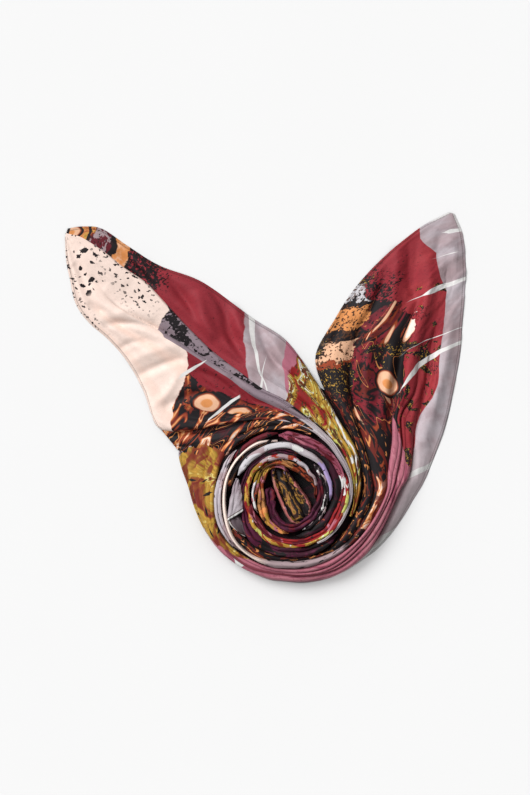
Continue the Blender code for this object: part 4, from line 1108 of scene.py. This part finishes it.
hidden = dict(
    shoulder=(107.9, 85, 84, 84, 84, 86.8, 90.5, 96, 94.8, 92.7, 95.2, 100.7),  # every 30 degrees
    rim=(111.3, 118, 130, 146, 150, 136, 112, 97.5, 95.6, 94, 96, 101.5),
    shares=(.02, .15, .35, .55, .75, .9, 1),  # of the way out to the shoulder
    falls=(.08, .2, .35, .5, .65, .8, .92, 1),  # of the way from there to the rim
    top=15.2, foot=1, hollow=8, hollowFrom=44, hollowFade=30,
    creases=34, creaseDepth=.8, creaseFrom=60, creaseFade=20, swirl=.21,
)


def hiddenGrid(spec):
    angles = np.linspace(0, 360, 181)[:, None]
    shoulder, rim = (splineAt([*spec[key], spec[key][0]], angles / apart) for key in ("shoulder", "rim"))
    falls = np.array(spec["falls"])
    radius = np.hstack([shoulder * spec["shares"], shoulder + (rim - shoulder) * falls])
    height = spec["foot"] + (spec["top"] - spec["foot"]) * np.cos(falls * math.pi / 2)
    height = np.concatenate([np.full(len(spec["shares"]), spec["top"]), height])
    height = height - spec["hollow"] * ease((spec["hollowFrom"] - radius) / spec["hollowFade"])
    ripple = .5 + .5 * np.sin(np.radians(angles) * spec["creases"] + radius * spec["swirl"])
    ripple = ripple * ease((radius - spec["creaseFrom"]) / spec["creaseFade"])
    height = np.maximum(height - spec["creaseDepth"] * ripple, leastHeight)
    points = roundCoil(angles, radius, height)
    points[-1] = points[0]
    return gridOf(points, np.arange(radius.shape[1]), angles[:, 0])


def hiddenPrint():
    loom = Loom("hiddenPrint")
    colour = loom.layered("ink", (loom.noise(30, 3, .6).rise(.4, .6), "plum"))
    # painted shade: the colour at half brightness, for the dark under the turns
    return loom.finish(loom.shade(colour, .5), hemmed=False)  # in the dark under the turns


hiddenPiece = lay("hiddenCloth", ("hidden_layers",), [hiddenGrid(hidden)], hiddenPrint())


# floor, light and camera

room = dict(floor=80, floorTone=.47, floorLight=3.28, sun=3.6, spread=36, sunFrom=(-1.3, 1.2, 1.6), fill=.2)
view = dict(high=2.6, x=-.0006, y=.00125, across=.6625, film=36, shape=1.5)  # shape: height over width


def whiteFloor(spec):
    loom = Loom("floorPaint", onCloth=False)
    place = loom.add("ShaderNodeTexCoord", {}, {}, "Object")
    tone = (loom.noise(3, 2, .5, on=place) - .5) * .006 + spec["floorTone"]
    half = spec["floor"] / 2
    corners = [(-half, -half, 0), (half, -half, 0), (half, half, 0), (-half, half, 0)]
    mesh = bpy.data.meshes.new("floor")
    mesh.from_pydata(corners, [], [(0, 1, 2, 3)])
    paint = {"Base Color": loom.grey(tone), "Roughness": .9, "Specular IOR Level": .1}
    mesh.materials.append(loom.dye(paint))
    floor = placed("floor", mesh)
    return floor


def sunLamp(name, energy, spread, place):
    # light that falls from a place towards the middle
    lamp = bpy.data.lights.new(name, "SUN")
    lamp.angle = math.radians(spread)
    lamp.energy = energy
    sun = placed(name, lamp)
    x, y, z = place
    sun.location = place
    sun.rotation_euler = (math.atan2(math.hypot(x, y), z), 0, math.atan2(x, -y))
    return sun


def lights(spec, floor):
    world = bpy.data.worlds.new("studio")
    world.use_nodes = True
    sky = world.node_tree.nodes["Background"].inputs
    sky["Color"].default_value = (1, 1, 1, 1)
    sky["Strength"].default_value = spec["fill"]
    bpy.context.scene.world = world
    sunLamp("key", spec["sun"], spec["spread"], spec["sunFrom"])
    # a broad light that only the floor takes, so the cloth has a faint shade all round it
    broad = sunLamp("broad", spec["floorLight"], 180, (0, 0, 2))
    floorOnly = bpy.data.collections.new("floorOnly")
    floorOnly.objects.link(floor)
    broad.light_linking.receiver_collection = floorOnly


lights(room, whiteFloor(room))
lens = bpy.data.cameras.new("overhead")
lens.sensor_fit = "VERTICAL"
lens.sensor_height = view["film"]
lens.lens = view["film"] * view["high"] / (view["across"] * view["shape"])
overhead = placed("overhead", lens)
overhead.location = (view["x"], view["y"], view["high"])
bpy.context.scene.camera = overhead
bpy.context.scene.view_settings.view_transform = "Standard"
print("stage set")


def shownFlat(piece):
    # how wide and long the piece is laid flat, as a stretch of the one cloth, in metres
    shown = piece.evaluated_get(bpy.context.evaluated_depsgraph_get())
    area = sum(face.area for face in shown.to_mesh().polygons) / 2
    shown.to_mesh_clear()
    length = max(loop.uv[1] for loop in piece.data.uv_layers["cloth"].data)
    return area / length, length


allPieces = [rightPiece, frontPiece, flamePiece, backPiece, cornerPiece, tuftPiece, hiddenPiece, *coilPieces]
for piece in allPieces:
    shownFlat(piece)

bpy.context.view_layer.update()
